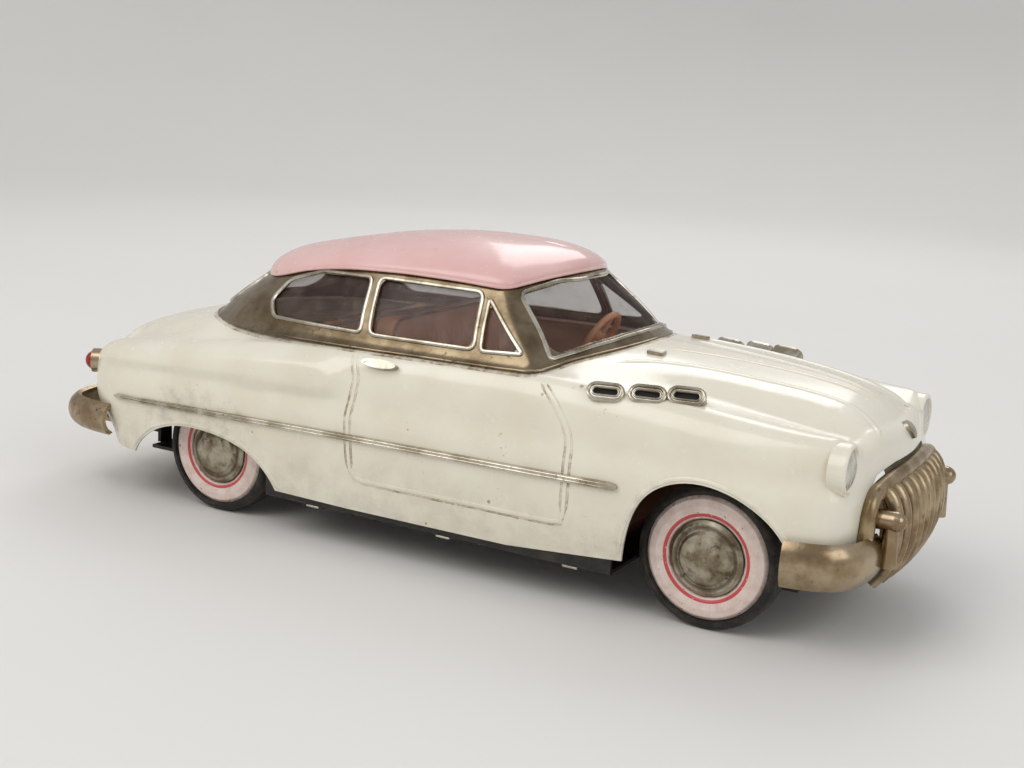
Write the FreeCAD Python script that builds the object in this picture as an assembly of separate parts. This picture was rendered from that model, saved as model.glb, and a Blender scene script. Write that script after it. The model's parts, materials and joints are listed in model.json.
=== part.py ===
"""Tinplate friction toy: a two-door sedan of about 1950, 208 mm long.

The toy is made as such toys are made: a pressed body shell, a plated window-frame
pressing, a painted roof pressing, clear sheet windows, a folded base plate that
carries the two axles, and plated bumper, grille and trim pressings held by tabs.
Frame: +X forward, +Y to the car's left, +Z up, origin on the ground under the middle
of the overall length. Lengths are millimetres.
"""
import FreeCAD, Part
import math
import os

V = FreeCAD.Vector
os.makedirs("parts", exist_ok=True)

# ---------------------------------------------------------------- driving sizes
OVERALL_LENGTH = 208.0      # bumper guards to rear bumper
OVERALL_HEIGHT = 69.0       # ground to the top of the roof
OVERALL_WIDTH = 76.0        # across the widest point of the body sides
WHEELBASE = 122.0
FRONT_SHARE = 0.41          # share of the two overhangs that is ahead of the front axle
TIN = 0.6                   # body, roof and frame sheet
PLATE = 0.8                 # base plate
ROOF_GAP = 0.25             # between the roof's turned-down edge and the frame
GLASS_GAP = 0.05            # between the frame and the clear sheets
TRIM_LIFT = 0.75            # plated trim above the paint
FIT = 0.02                  # between the paint and the trim's underside
PORT_LIFT = 0.5             # port plates' faces outside their design centres

TYRE_RADIUS = 14.6
TYRE_WIDTH = 7.4
DISC_RADIUS = 12.6          # white disc
WHEEL_INSET = 7.5           # face of a white disc inside the body side
AXLE_RADIUS = 1.25
AXLE_CLEARANCE = 0.05       # axle in its bearing holes

BASE_Z = 8.4                # underside of the base plate
BODY_BOTTOM = 8.0           # body side before the lower edge is trimmed
FLOOR_Z = 15.0              # interior floor tray

HALF_BASE = WHEELBASE / 2   # the axles stand at plus and minus this from the wheelbase middle
HALF_WIDTH = OVERALL_WIDTH / 2
FRONT_OVERHANG = FRONT_SHARE * (OVERALL_LENGTH - WHEELBASE)
REAR_OVERHANG = OVERALL_LENGTH - WHEELBASE - FRONT_OVERHANG
MID_X = OVERALL_LENGTH / 2 - FRONT_OVERHANG - HALF_BASE
WHEEL_FACE_Y = HALF_WIDTH - WHEEL_INSET
WHEEL_BACK_Y = WHEEL_FACE_Y - TYRE_WIDTH


# ---------------------------------------------------------------- fitting the design to the sizes
# Stations, half-widths and heights below are the lines of a car 208 x 76 x 69 with its axles
# 122 apart. `fitted` stretches any such point to the sizes above; wheels, arches, lamps and
# rods keep their own radii.
DESIGN_HALF_BASE = 61.0
DESIGN_FRONT = 35.26
DESIGN_REAR = 50.74


def long_x(x):
    """Station: stretched by the wheelbase between the axles and by its overhang beyond them."""
    if x > DESIGN_HALF_BASE:
        return HALF_BASE + (x - DESIGN_HALF_BASE) * FRONT_OVERHANG / DESIGN_FRONT
    if x < -DESIGN_HALF_BASE:
        return -HALF_BASE + (x + DESIGN_HALF_BASE) * REAR_OVERHANG / DESIGN_REAR
    return x * HALF_BASE / DESIGN_HALF_BASE


def wide_y(y):
    return y * OVERALL_WIDTH / 76.0


def tall_z(z):
    return z * OVERALL_HEIGHT / 69.0


def fitted(p):
    return V(long_x(p.x), wide_y(p.y), tall_z(p.z))


# ---------------------------------------------------------------- small tools
def smooth_line(points):
    """A function through (x, value) points: monotone cubic, flat beyond its ends."""
    xs = [p[0] for p in points]
    ys = [p[1] for p in points]
    n = len(xs)
    d = [(ys[i + 1] - ys[i]) / (xs[i + 1] - xs[i]) for i in range(n - 1)]
    m = [d[0]] + [0.0] * (n - 2) + [d[-1]]
    for i in range(1, n - 1):
        if d[i - 1] * d[i] > 0:
            m[i] = 2 * d[i - 1] * d[i] / (d[i - 1] + d[i])

    def value(x):
        if x <= xs[0]:
            return ys[0]
        if x >= xs[-1]:
            return ys[-1]
        i = max(k for k in range(n - 1) if xs[k] <= x)
        h = xs[i + 1] - xs[i]
        t = (x - xs[i]) / h
        return (ys[i] * (1 + 2 * t) * (1 - t) ** 2 + h * m[i] * t * (1 - t) ** 2
                + ys[i + 1] * t * t * (3 - 2 * t) + h * m[i + 1] * t * t * (t - 1))
    return value


def step(x, low, high):
    """0 below low, 1 above high, smooth between."""
    t = min(1.0, max(0.0, (x - low) / (high - low)))
    return t * t * (3 - 2 * t)


def control_curve(points, count):
    """Evenly spread points on the clamped cubic whose control points are given."""
    curve = Part.BSplineCurve()
    n = len(points)
    curve.buildFromPolesMultsKnots(points, [4] + [1] * (n - 4) + [4],
                                   [float(i) for i in range(n - 2)], False, 3)
    return curve.discretize(Number=count)


def net_surface(design_net):
    """The clamped cubic surface whose control points are the fitted net."""
    net = [[fitted(p) for p in row] for row in design_net]
    nu = len(net)
    nv = len(net[0])
    surface = Part.BSplineSurface()
    surface.buildFromPolesMultsKnots(
        net, [4] + [1] * (nu - 4) + [4], [4] + [1] * (nv - 4) + [4],
        [float(i) for i in range(nu - 2)], [float(i) for i in range(nv - 2)],
        False, False, 3, 3)
    return surface


def mirrored_y(shape):
    return shape.mirror(V(0, 0, 0), V(0, 1, 0))


def ruled_edge(a, b):
    return Part.makeRuledSurface(a, b)


def sewn_solid(faces):
    shell = Part.makeShell(faces)
    shell.sewShape()
    solid = Part.makeSolid(Part.Shell(shell.Faces) if shell.ShapeType != "Shell" else shell)
    if solid.Volume < 0:
        solid.reverse()
    return solid


def edge_of(surface, side):
    """The boundary curve of a net surface: u0, u1, v0 or v1."""
    u0, u1, v0, v1 = surface.bounds()
    if side == "u0":
        return surface.uIso(u0).toShape()
    if side == "u1":
        return surface.uIso(u1).toShape()
    if side == "v0":
        return surface.vIso(v0).toShape()
    return surface.vIso(v1).toShape()


def sheet_solid(outer_net, inner_net, rims):
    """A symmetric sheet from the outer and inner nets of its left half, closed at the named rims."""
    outer = net_surface(outer_net)
    inner = net_surface(inner_net)
    half = [outer.toShape(), inner.toShape()]
    for side in rims:
        half.append(ruled_edge(edge_of(outer, side), edge_of(inner, side)))
    return sewn_solid(half + [mirrored_y(f) for f in half])


def prism(points, direction):
    """A straight prism over a closed outline, both fitted to the sizes."""
    corners = [fitted(p) for p in points]
    reach = fitted(points[0] + direction) - corners[0]
    return Part.Face(Part.makePolygon(corners + [corners[0]])).extrude(reach)


def exact_box(x0, x1, y0, y1, z0, z1):
    return Part.makeBox(x1 - x0, y1 - y0, z1 - z0, V(x0, y0, z0))


def box(x0, x1, y0, y1, z0, z1):
    """A box whose faces are fitted to the sizes."""
    return exact_box(long_x(x0), long_x(x1), wide_y(y0), wide_y(y1), tall_z(z0), tall_z(z1))


def spindle(start, direction, profile):
    """A solid turned about a direction from the start; profile is (distance, radius) from tip to tip."""
    side = V(0, 0, 1) if abs(direction.z) < 0.7 else V(1, 0, 0)
    across = direction.cross(side).normalize()
    points = [start + direction * d + across * r for d, r in profile]
    face = Part.Face(Part.makePolygon(points + [points[0]]))
    return face.revolve(start, direction, 360)


def largest(shape):
    """The biggest solid of a cut shape."""
    return max(shape.Solids, key=lambda solid: solid.Volume)


def largest_pair(shape):
    """The two biggest solids of a shape that was cut in half."""
    return sorted(shape.Solids, key=lambda solid: solid.Volume)[-2:]


PARTS = {}


def keep(name, *shapes):
    """Stores a node's solids, moved from the wheelbase middle to the toy's own origin."""
    shape = shapes[0] if len(shapes) == 1 else Part.makeCompound(list(shapes))
    shape = shape.copy()
    shape.translate(V(MID_X, 0, 0))
    PARTS[name] = shape


# ---------------------------------------------------------------- body lines
# Heights of the body's long lines over stations measured from the wheelbase middle.
centre_line = smooth_line([(-104, 33.0), (-100, 38.0), (-94, 40.6), (-87, 42.6), (-77, 44.9),
                           (-62, 46.6), (0, 49.0), (36, 50.4), (50, 49.9), (66, 48.6), (76, 47.1),
                           (83, 44.7), (88, 40.5), (91.5, 36.0)])
ridge_line = smooth_line([(-104, 33.0), (-100, 37.6), (-94, 40.3), (-87, 42.4), (-77, 44.7),
                          (-62, 46.4), (0, 48.6), (36, 49.9), (50, 49.3), (66, 47.9), (76, 46.4),
                          (83, 44.2), (88, 40.3), (91.5, 35.8)])
edge_line = smooth_line([(-104, 32.0), (-100, 35.6), (-94, 38.4), (-87, 40.2), (-77, 42.6),
                         (-62, 45.4), (0, 47.6), (30, 48.4), (50, 48.0), (66, 46.7), (76, 45.3),
                         (83, 43.3), (88, 39.6), (91.5, 35.4)])
valley_line = smooth_line([(-104, 32.0), (-98, 34.4), (-87, 37.8), (-77, 39.8), (-62, 43.2), (-40, 44.8),
                           (0, 46.2), (23, 46.6), (36, 46.7), (50, 45.4), (60, 44.0), (68, 42.6),
                           (78, 41.0), (84, 39.9), (91.5, 37.0)])
crest_line = smooth_line([(-104, 33.5), (-98, 35.6), (-87, 37.6), (-70, 39.9), (-55, 42.0), (-40, 43.6),
                          (-20, 44.8), (0, 45.4), (23, 45.9), (38, 45.5), (52, 44.8), (60, 44.0),
                          (68, 43.2), (78, 42.4), (86, 42.0), (91.5, 41.2)])
ridge_y = smooth_line([(-104, 8.0), (36, 9.0), (80, 8.0), (91.5, 6.0)])
edge_y = smooth_line([(-104, 16.0), (-90, 19.0), (-62, 23.0), (0, 24.0), (36, 20.5), (66, 18.5),
                      (91.5, 14.5)])
valley_y = smooth_line([(-104, 21.0), (-90, 23.5), (-62, 28.0), (0, 30.0), (36, 26.5), (66, 22.8),
                        (91.5, 19.5)])
crest_y = smooth_line([(-104, 26.0), (-90, 28.5), (-62, 31.0), (0, 32.5), (36, 31.5), (66, 29.8),
                       (91.5, 27.0)])


def top_height(x, y):
    y = abs(y)
    line = smooth_line([(0.0, centre_line(x)), (ridge_y(x), ridge_line(x)), (edge_y(x), edge_line(x)),
                        (valley_y(x), valley_line(x)), (crest_y(x), crest_line(x)),
                        (crest_y(x) + 12.0, crest_line(x) - 1.0)])
    return line(y)


OUTLINE = [V(-103.5, 0, 0), V(-103.4, 8, 0), V(-102.8, 20, 0), V(-101.5, 28, 0), V(-97.5, 33.2, 0),
           V(-88, 36.2, 0), V(-72, 37.6, 0), V(-50, 38.0, 0), V(-20, 38.0, 0),
           V(10, 38.0, 0), V(35, 38.0, 0), V(55, 37.6, 0), V(72, 36.6, 0), V(82, 34.9, 0),
           V(86.6, 32.6, 0), V(88.2, 28, 0), V(89.0, 22, 0), V(91.2, 12, 0), V(92.2, 5, 0), V(92.4, 0, 0)]

roll_width = smooth_line([(-104, 5.0), (-90, 6.0), (-62, 5.4), (-20, 4.6), (30, 5.0), (60, 5.6), (78, 4.8),
                          (86, 3.6), (92, 3.6)])
roll_drop = smooth_line([(-104, 7.0), (-90, 6.5), (-62, 7.0), (-20, 7.2), (30, 7.5), (60, 7.5), (78, 6.0),
                         (86, 4.4), (92, 4.6)])
pontoon_top = smooth_line([(-104, 36.0), (-90, 37.6), (-73, 40.2), (-48, 42.6), (-32, 43.2), (-22, 43.0)])
pontoon_foot = smooth_line([(-104, 30.5), (-85, 31.6), (-60, 32.2), (-22, 32.8)])


def side_inset(x, z):
    """How far the body side stands inside the outline at height z, without the pontoon."""
    under = min(3.0, 0.006 * max(0.0, 27.0 - z) ** 2)
    tail = 7.5 * step(-x, 88, 101) * (max(0.0, 23.0 - z) / 10.0) ** 1.6
    belt = 1.3 * step(z, 30.2, 34.0)
    return under + tail + belt


def pontoon(x, z):
    """How far the rear wing stands out of the side: a long swelling with a round nose."""
    top = pontoon_top(x)
    foot = pontoon_foot(x)
    if x < PONTOON_NOSE - 4.9:
        reach = min(top - z, z - foot)
    else:
        reach = 4.9 - math.hypot(x - PONTOON_NOSE + 4.9, z - (foot + 4.9))
    return PONTOON_DEPTH * step(reach, 0.0, 2.6) * step(-x, -200, -199) * step(x, -102, -92)


def plan_points(outline, count):
    """Points round the half plan from tail to nose with the inward direction at each."""
    plan = control_curve(outline, count)
    found = []
    for i, p in enumerate(plan):
        along = plan[min(i + 1, count - 1)] - plan[max(i - 1, 0)]
        inward = V(along.y, -along.x, 0).normalize()
        if i in (0, count - 1):
            inward = V(1 if i == 0 else -1, 0, 0)
            p = V(p.x, 0, 0)
        found.append((p, inward))
    return found


PONTOON_NOSE = -21.6
PONTOON_DEPTH = 1.5
WALL_ROWS = 16
ROLL_ROWS = 8
TOP_ROWS = 14
PLAN_COLUMNS = 104


def body_net(depth):
    """Control points of the left half of the body, bottom edge to centre line, tail to nose."""
    plan = plan_points(OUTLINE, PLAN_COLUMNS)
    last = PLAN_COLUMNS - 1
    spine_of = smooth_line([(0, -93.0), (0.13 * last, -86.0), (0.88 * last, 74.0), (last, 83.0)])
    net = []
    for i, (p, inward) in enumerate(plan):
        roll = roll_width(p.x)
        drop = roll_drop(p.x)
        shoulder = side_inset(p.x, 36.0)
        end = p + inward * (shoulder + roll)
        z_turn = top_height(end.x, end.y) - drop
        row = []
        for k in range(WALL_ROWS):
            z = BODY_BOTTOM + (z_turn - BODY_BOTTOM) * k / WALL_ROWS
            inset = side_inset(p.x, z) - pontoon(p.x, z) + depth
            row.append(p + inward * inset + V(0, 0, z))
        for k in range(ROLL_ROWS):
            a = math.pi / 2 * k / ROLL_ROWS
            inset = side_inset(p.x, z_turn) * (1 - k / ROLL_ROWS) + shoulder * k / ROLL_ROWS
            z = z_turn + (drop - depth) * math.sin(a)
            inset += depth + (roll - depth) * (1 - math.cos(a)) - pontoon(p.x, z)
            row.append(p + inward * inset + V(0, 0, z))
        for k in range(TOP_ROWS + 1):
            t = k / TOP_ROWS
            x = end.x * (1 - t) + spine_of(i) * t
            y = end.y * (1 - t)
            row.append(V(x, y, top_height(x, y) - depth))
        net.append(row)
    return net


def body_volume():
    """The whole space inside the body's outer surface, for trimming what sits on it."""
    outer = net_surface(body_net(0.0))
    foot = edge_of(outer, "v0")
    rim = Part.Wire([foot, mirrored_y(foot)])
    return sewn_solid([outer.toShape(), mirrored_y(outer.toShape()), Part.Face(rim)])


def band_solid(raised, sunk):
    """The thin solid lying on the body between two depths, for pieces fitted to its surface."""
    return sheet_solid(body_net(raised), body_net(sunk), ["v0"])


# ---------------------------------------------------------------- body shell
def wheel_arch(points, side):
    """The opening over an axle: a smooth outline of (x, z) from the axle centre, grown with the tyre."""
    grow = TYRE_RADIUS / 14.6
    axle_x = side * HALF_BASE
    y0 = WHEEL_BACK_Y + 0.9
    curve = Part.BSplineCurve()
    around = [V(axle_x + x * grow, y0, TYRE_RADIUS + z * grow) for x, z in points]
    curve.interpolate(around, PeriodicFlag=True)
    opening = Part.Face(Part.Wire(curve.toShape())).extrude(V(0, HALF_WIDTH, 0))
    return opening.fuse(mirrored_y(opening))


def polygon_xz(points, y0, y1):
    return prism([V(x, y0, z) for x, z in points], V(0, y1 - y0, 0))


def polygon_xy(points, z0, z1):
    return prism([V(x, y, z0) for x, y in points], V(0, 0, z1 - z0))


def rounded_polygon_xz(points, radius, y0, y1):
    """A prism along Y over a polygon of (x, z) points with rounded corners."""
    solid = polygon_xz(points, y0, y1)
    edges = [e for e in solid.Edges if abs(e.Vertexes[0].Y - e.Vertexes[-1].Y) > 1.0]
    return solid.makeFillet(radius, edges)


SILL = [(-110, 12.9), (-96, 12.9), (-82.9, 11.6), (-60, 10.6), (-20, 10.0), (20, 10.2), (46, 12.4),
        (60, 13.0), (80, 14.5), (110, 14.5)]
FRONT_ARCH = [(-16.2, -10.6), (-15.2, -1.6), (-14.1, 5.0), (-10.8, 12.0), (-5.0, 15.6), (2.5, 16.0),
              (10.0, 13.4), (16.0, 8.2), (19.0, 0.4), (19.5, -10.6)]
REAR_ARCH = [(23.0, -10.6), (21.1, -3.4), (17.0, 1.6), (10.0, 5.0), (1.0, 6.4), (-6.5, 6.1),
             (-14.0, 3.7), (-19.3, -0.2), (-22.4, -5.0), (-23.0, -10.6)]
CABIN_OPENING = [(-70, 0), (-68.5, 9), (-65, 17), (-58, 23), (-48, 27), (-36, 28.8), (18, 29.4),
                 (25.5, 25), (30, 17), (32.5, 9), (33.5, 0)]


def body_shell():
    """One sheet pressing, trimmed at the sills and opened for the wheels, the cabin and the mouth."""
    shell = sheet_solid(body_net(0.0), body_net(TIN), ["v0"])
    below = polygon_xz([(-110, 0)] + SILL + [(110, 0)], -60, 60)
    shell = shell.cut(below)
    shell = shell.cut(wheel_arch(FRONT_ARCH, 1))
    shell = shell.cut(wheel_arch(REAR_ARCH, -1))
    left = CABIN_OPENING
    right = [(x, -y) for x, y in reversed(CABIN_OPENING[1:-1])]
    shell = shell.cut(polygon_xy(left + right, 40.0, 60.0))
    half = [(0, 35.4), (10, 35.0), (17.5, 33.8), (21.6, 31.2), (23.0, 27.0), (23.0, 5.0)]
    mouth = prism([V(78, y, z) for y, z in half + [(-y, z) for y, z in reversed(half[1:])]], V(24, 0, 0))
    return shell.cut(mouth)


# ---------------------------------------------------------------- greenhouse
FRAME_BOTTOM = [V(-75.4, 0, 45.4), V(-75.2, 7, 45.3), V(-72.8, 16, 45.2), V(-66.0, 22.6, 45.0),
                V(-58.0, 27.2, 44.9), V(-46, 29.8, 45.0), V(-33, 31.2, 45.2), V(-18, 32.0, 45.5),
                V(-2, 32.3, 45.9), V(10, 32.4, 46.1), V(18.0, 32.5, 46.3), V(21.6, 32.7, 46.4),
                V(22.4, 31.6, 46.6), V(22.9, 29.0, 47.0), V(24.6, 24.8, 48.0), V(28.0, 20.0, 49.2),
                V(30.8, 14.0, 50.0), V(32.6, 7.0, 50.6), V(33.1, 0, 50.7)]
FRAME_TOP = [V(-62.0, 0, 57.6), V(-61.6, 5.5, 57.5), V(-59.6, 12.5, 57.0), V(-56.0, 17.5, 56.3),
             V(-50.5, 20.0, 57.3), V(-42, 21.6, 59.5), V(-32, 22.7, 61.1), V(-18, 23.4, 61.9),
             V(-8, 23.6, 62.0), V(0.0, 23.7, 61.9), V(5.5, 23.8, 61.7), V(9.2, 23.8, 61.6),
             V(10.2, 23.0, 61.7), V(10.8, 20.8, 62.1), V(12.2, 17.2, 62.7), V(14.0, 13.2, 63.4),
             V(15.5, 8.8, 63.9), V(16.4, 4.2, 64.2), V(16.7, 0, 64.3)]


def loop_frames(line, count):
    """Points along a half loop from rear to front with the outward level direction at each."""
    curve = control_curve(line, count)
    found = []
    for i, p in enumerate(curve):
        along = curve[min(i + 1, count - 1)] - curve[max(i - 1, 0)]
        outward = V(-along.y, along.x, 0).normalize()
        if i in (0, count - 1):
            outward = V(-1 if i == 0 else 1, 0, 0)
            p = V(p.x, 0, p.z)
        found.append((p, outward))
    return found


def frame_net(depth, columns=64):
    """The window-frame pressing from its flange on the body up to the roof seam."""
    bottom = loop_frames(FRAME_BOTTOM, columns)
    top = loop_frames(FRAME_TOP, columns)
    net = []
    for (b, outward), (t, _) in zip(bottom, top):
        row = [b + outward * (1.3 - depth * 0.4) + V(0, 0, -0.35 - depth * 0.2),
               b + outward * (0.7 - depth * 0.8) + V(0, 0, 0.15 - depth * 0.3)]
        for k in range(9):
            s = k / 8
            bulge = 1.3 * math.sin(math.pi * s) * (1 - s)
            lift = 0.6 * (1 - s) - 0.7 * s
            row.append(b * (1 - s) + t * s + outward * (bulge - depth) + V(0, 0, lift))
        net.append(row)
    return net


DOOR_WINDOW = [(-20.9, 59.2), (4.6, 59.2), (6.9, 48.6), (-18.6, 48.2)]
VENT_WINDOW = [(7.4, 57.9), (9.4, 48.8), (18.2, 49.2)]
QUARTER_WINDOW = [(-24.0, 59.0), (-22.0, 48.2), (-46.6, 48.2), (-49.4, 51.4), (-46.8, 55.6),
                  (-38.0, 58.2)]


def grown(points, margin):
    """A convex outline pushed out from its centre by about the margin."""
    cx = sum(p[0] for p in points) / len(points)
    cz = sum(p[1] for p in points) / len(points)
    out = []
    for x, z in points:
        r = math.hypot(x - cx, z - cz)
        out.append((cx + (x - cx) * (1 + margin / r), cz + (z - cz) * (1 + margin / r)))
    return out


def side_openings(margin):
    """The left side's window prisms, grown by the margin."""
    found = []
    for outline, radius in ((DOOR_WINDOW, 1.6), (VENT_WINDOW, 0.7), (QUARTER_WINDOW, 1.2)):
        found.append(rounded_polygon_xz(grown(outline, margin), radius, 15.0, 45.0))
    return found


def front_opening(margin):
    """The windscreen prism along X: an outline in Y and Z with rounded corners."""
    m = margin
    edge = [(27.8 + m, 48.3 - m), (21.9 + m * 0.6, 59.4 + m * 0.6), (12.0, 61.4 + m), (0, 62.3 + m)]
    sill = [(0, 52.5 - m), (9.0, 52.1 - m), (18.0, 50.9 - m)]
    half = sill + edge + [(-y, z) for y, z in reversed(edge[:-1])] + [(-y, z) for y, z in reversed(sill[1:])]
    solid = prism([V(5, y, z) for y, z in half], V(45, 0, 0))
    corners = [e for e in solid.Edges if abs(e.Vertexes[0].X - e.Vertexes[-1].X) > 1.0
               and abs(e.CenterOfMass.y) > wide_y(15.0)]
    return solid.makeFillet(1.6, corners)


def rear_opening(margin):
    """The rear window prism along X."""
    m = margin
    top = 54.9 + m * 0.4
    outline = [(-17.0 - m, 48.0 - m), (-12.4 - m, top), (12.4 + m, top), (17.0 + m, 48.0 - m)]
    solid = prism([V(-85, y, z) for y, z in outline], V(28, 0, 0))
    corners = [e for e in solid.Edges if abs(e.Vertexes[0].X - e.Vertexes[-1].X) > 1.0]
    return solid.makeFillet(2.0, corners)


def window_frame():
    """The plated pressing round all the windows, with its openings."""
    frame = sheet_solid(frame_net(0.0), frame_net(TIN), ["v0", "v1"])
    for opening in side_openings(0.0):
        frame = frame.cut(opening)
        frame = frame.cut(mirrored_y(opening))
    frame = frame.cut(front_opening(0.0))
    return frame.cut(rear_opening(0.0))


def glazing():
    """Clear sheets just inside the frame, one for each opening."""
    band = sheet_solid(frame_net(TIN + GLASS_GAP), frame_net(TIN + GLASS_GAP + 0.4), ["v0", "v1"])
    panes = [band.common(o) for o in side_openings(1.2)]
    return {"windscreen": band.common(front_opening(1.2)), "rear_window": band.common(rear_opening(1.2)),
            "side_windows_left": Part.makeCompound(panes),
            "side_windows_right": mirrored_y(Part.makeCompound(panes))}


roof_centre = smooth_line([(-63.0, 57.4), (-61.0, 58.6), (-56, 60.4), (-49.9, 62.4), (-38.4, 65.5),
                           (-25.8, 67.8), (-11, 69.0), (4.5, 68.5), (12.5, 66.9), (17.6, 64.2)])


def roof_net(depth, columns=60):
    """The roof pressing: a turned-down edge outside the frame, then the dome."""
    seam = loop_frames(FRAME_TOP, columns)
    spine_of = smooth_line([(0, -52.0), (8, -46.0), (51, 2.0), (59, 8.5)])
    rows = 14
    net = []
    for i, (p, outward) in enumerate(seam):
        edge = p + outward * (TIN + ROOF_GAP - depth)
        row = [edge + V(0, 0, -1.0), edge + V(0, 0, -0.3), edge + V(0, 0, 0.3 - depth * 0.5)]
        x_end = spine_of(i)
        z_end = roof_centre(x_end)
        for k in range(1, rows + 1):
            t = k / rows
            rise = (1 - (1 - t) ** 2.3) ** 0.80
            row.append(V(edge.x * (1 - t) + x_end * t, edge.y * (1 - t),
                         p.z + 0.4 + (z_end - p.z - 0.4) * rise - depth))
        net.append(row)
    return net


def roof_panel():
    """The painted roof pressing, lapped over the top of the window frame."""
    return sheet_solid(roof_net(0.0), roof_net(TIN), ["v0"])


# ---------------------------------------------------------------- base and cabin
def base_plate():
    """A flat plate narrowed at the wheels, with side flanges and four axle ears."""
    bottom = tall_z(BASE_Z)
    top = bottom + PLATE
    half = HALF_WIDTH - 2.4 - TIN
    narrow = WHEEL_BACK_Y - 2.1
    reach = HALF_BASE - TYRE_RADIUS - 3.4
    plate = exact_box(long_x(-90), long_x(77), -narrow, narrow, bottom, top)
    plate = plate.fuse(exact_box(-reach, reach, -half, half, bottom, top))
    for y0 in (-half, half - PLATE):
        plate = plate.fuse(exact_box(-reach, reach, y0, y0 + PLATE, bottom, bottom + 6.1))
    for x in (-HALF_BASE, HALF_BASE):
        for y0 in (-narrow + 4.0, narrow - 5.0):
            plate = plate.fuse(exact_box(x - 5, x + 5, y0, y0 + 1.0, bottom, TYRE_RADIUS + 5.4))
        start = V(x, -narrow, TYRE_RADIUS)
        plate = plate.cut(Part.makeCylinder(AXLE_RADIUS + AXLE_CLEARANCE, 2 * narrow, start, V(0, 1, 0)))
    return plate.removeSplitter()


def cabin_floor():
    """A tray standing on the base plate, under the seats."""
    half = HALF_WIDTH - 4.0 - TIN
    reach = HALF_BASE - TYRE_RADIUS - 2.4
    floor = tall_z(FLOOR_Z)
    tray = exact_box(-reach, reach - 2.0, -half, half, floor, floor + 1.0)
    for x in (-30, 30):
        tray = tray.fuse(exact_box(x - 6, x + 6, -24, 24, tall_z(BASE_Z) + PLATE, floor))
    tray = tray.fuse(exact_box(-reach, 1.0 - reach, -half, half, floor, tall_z(40.0)))
    return tray.removeSplitter()


def seat(x_front, x_back, top, half, floor):
    """A bench seat: cushion and a back with rounded top corners."""
    cushion = box(x_back, x_front, -half, half, floor, floor + 13.0)
    lean = 3.0
    back = prism([V(x_back, -half, floor), V(x_back + 5.5, -half, floor), V(x_back + 4.0 - lean, -half, top),
                  V(x_back - lean, -half, top)], V(0, 2 * half, 0))
    corners = [e for e in back.Edges if e.CenterOfMass.z > tall_z(top - 0.5)
               and abs(e.CenterOfMass.y) > wide_y(half - 0.5)]
    back = back.makeFillet(3.4, corners)
    return cushion.fuse(back).removeSplitter()


def dashboard():
    """The instrument board on a foot that stands on the tray."""
    board = prism([V(20, -26, 40), V(29, -26, 40), V(29, -26, 45.5), V(24, -26, 46.6), V(20, -26, 44)],
                  V(0, 52, 0))
    foot = box(24, 28, -20, 20, FLOOR_Z + 1.0, 40.0)
    return board.fuse(foot).removeSplitter()


WHEEL_CENTRE = fitted(V(14.5, 13.5, 46.0))
COLUMN_LEAN = V(0.88, 0, -0.47)


def steering_wheel():
    """Rim, hub and three spokes square to the leaning column."""
    rim = Part.makeTorus(6.6, 0.75, WHEEL_CENTRE, COLUMN_LEAN)
    hub = Part.makeCylinder(1.7, 1.6, WHEEL_CENTRE - COLUMN_LEAN * 0.8, COLUMN_LEAN)
    wheel = rim.fuse(hub)
    across = V(0, 1, 0)
    up = COLUMN_LEAN.cross(across).normalize()
    for angle in (90, 210, 330):
        a = math.radians(angle)
        direction = across * math.cos(a) + up * math.sin(a)
        wheel = wheel.fuse(Part.makeCylinder(0.55, 6.5, WHEEL_CENTRE, direction))
    return wheel.removeSplitter()


def steering_column():
    start = WHEEL_CENTRE + COLUMN_LEAN * 0.85
    return Part.makeCylinder(0.9, 7.4, start, COLUMN_LEAN)


def motor_block():
    """The friction motor as one plain block on two feet over the rear axle."""
    x0 = -HALF_BASE - 15.0
    x1 = -HALF_BASE + 15.0
    bottom = TYRE_RADIUS + 3.9
    block = exact_box(x0, x1, -12, 12, bottom, tall_z(34.0))
    for foot in (x0, x1 - 3.0):
        block = block.fuse(exact_box(foot, foot + 3.0, -12, 12, tall_z(BASE_Z) + PLATE, bottom))
    return block.removeSplitter()


# ---------------------------------------------------------------- wheels
def turned(points, x, side):
    """A solid turned about an axle; points are (radius, distance in from the disc face)."""
    profile = [V(x, side * (WHEEL_FACE_Y - d), TYRE_RADIUS + r) for r, d in points]
    face = Part.Face(Part.makePolygon(profile + [profile[0]]))
    return face.revolve(V(x, 0, TYRE_RADIUS), V(0, 1, 0), 360)


def tyre(x, side):
    """A solid rubber ring: rounded shoulders, bore on the wheel drum."""
    shoulder = 1.8
    points = [(DISC_RADIUS - 4.0, 1.6), (DISC_RADIUS - 0.3, 1.6), (DISC_RADIUS + 0.15, -0.15)]
    crown = TYRE_RADIUS - shoulder
    turns = [math.pi / 2 * k / 6 for k in range(7)]
    for a in turns:
        points.append((crown + shoulder * math.sin(a), -0.3 + shoulder * (1 - math.cos(a))))
    for a in turns:
        points.append((crown + shoulder * math.cos(a), TYRE_WIDTH - shoulder + shoulder * math.sin(a)))
    points.append((DISC_RADIUS - 4.0, TYRE_WIDTH))
    return turned(points, x, side)


def wheel_disc(x, side):
    """The painted disc, its drum inside the tyre and a hub pressed on the axle."""
    rim = DISC_RADIUS
    drum = DISC_RADIUS - 4.1
    face = [(AXLE_RADIUS, 1.4), (7.0, 1.4), (7.9, 0.3), (8.6, -0.1), (rim - 2.2, -0.35), (rim - 0.8, -0.1),
            (rim - 0.1, 0.5), (rim - 0.4, 1.5)]
    back = [(drum, 1.5), (drum, TYRE_WIDTH), (drum - 0.8, TYRE_WIDTH), (drum - 0.8, 2.4), (3.0, 2.4),
            (3.0, TYRE_WIDTH + 1.5), (AXLE_RADIUS, TYRE_WIDTH + 1.5)]
    return turned(face + back, x, side)


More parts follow.
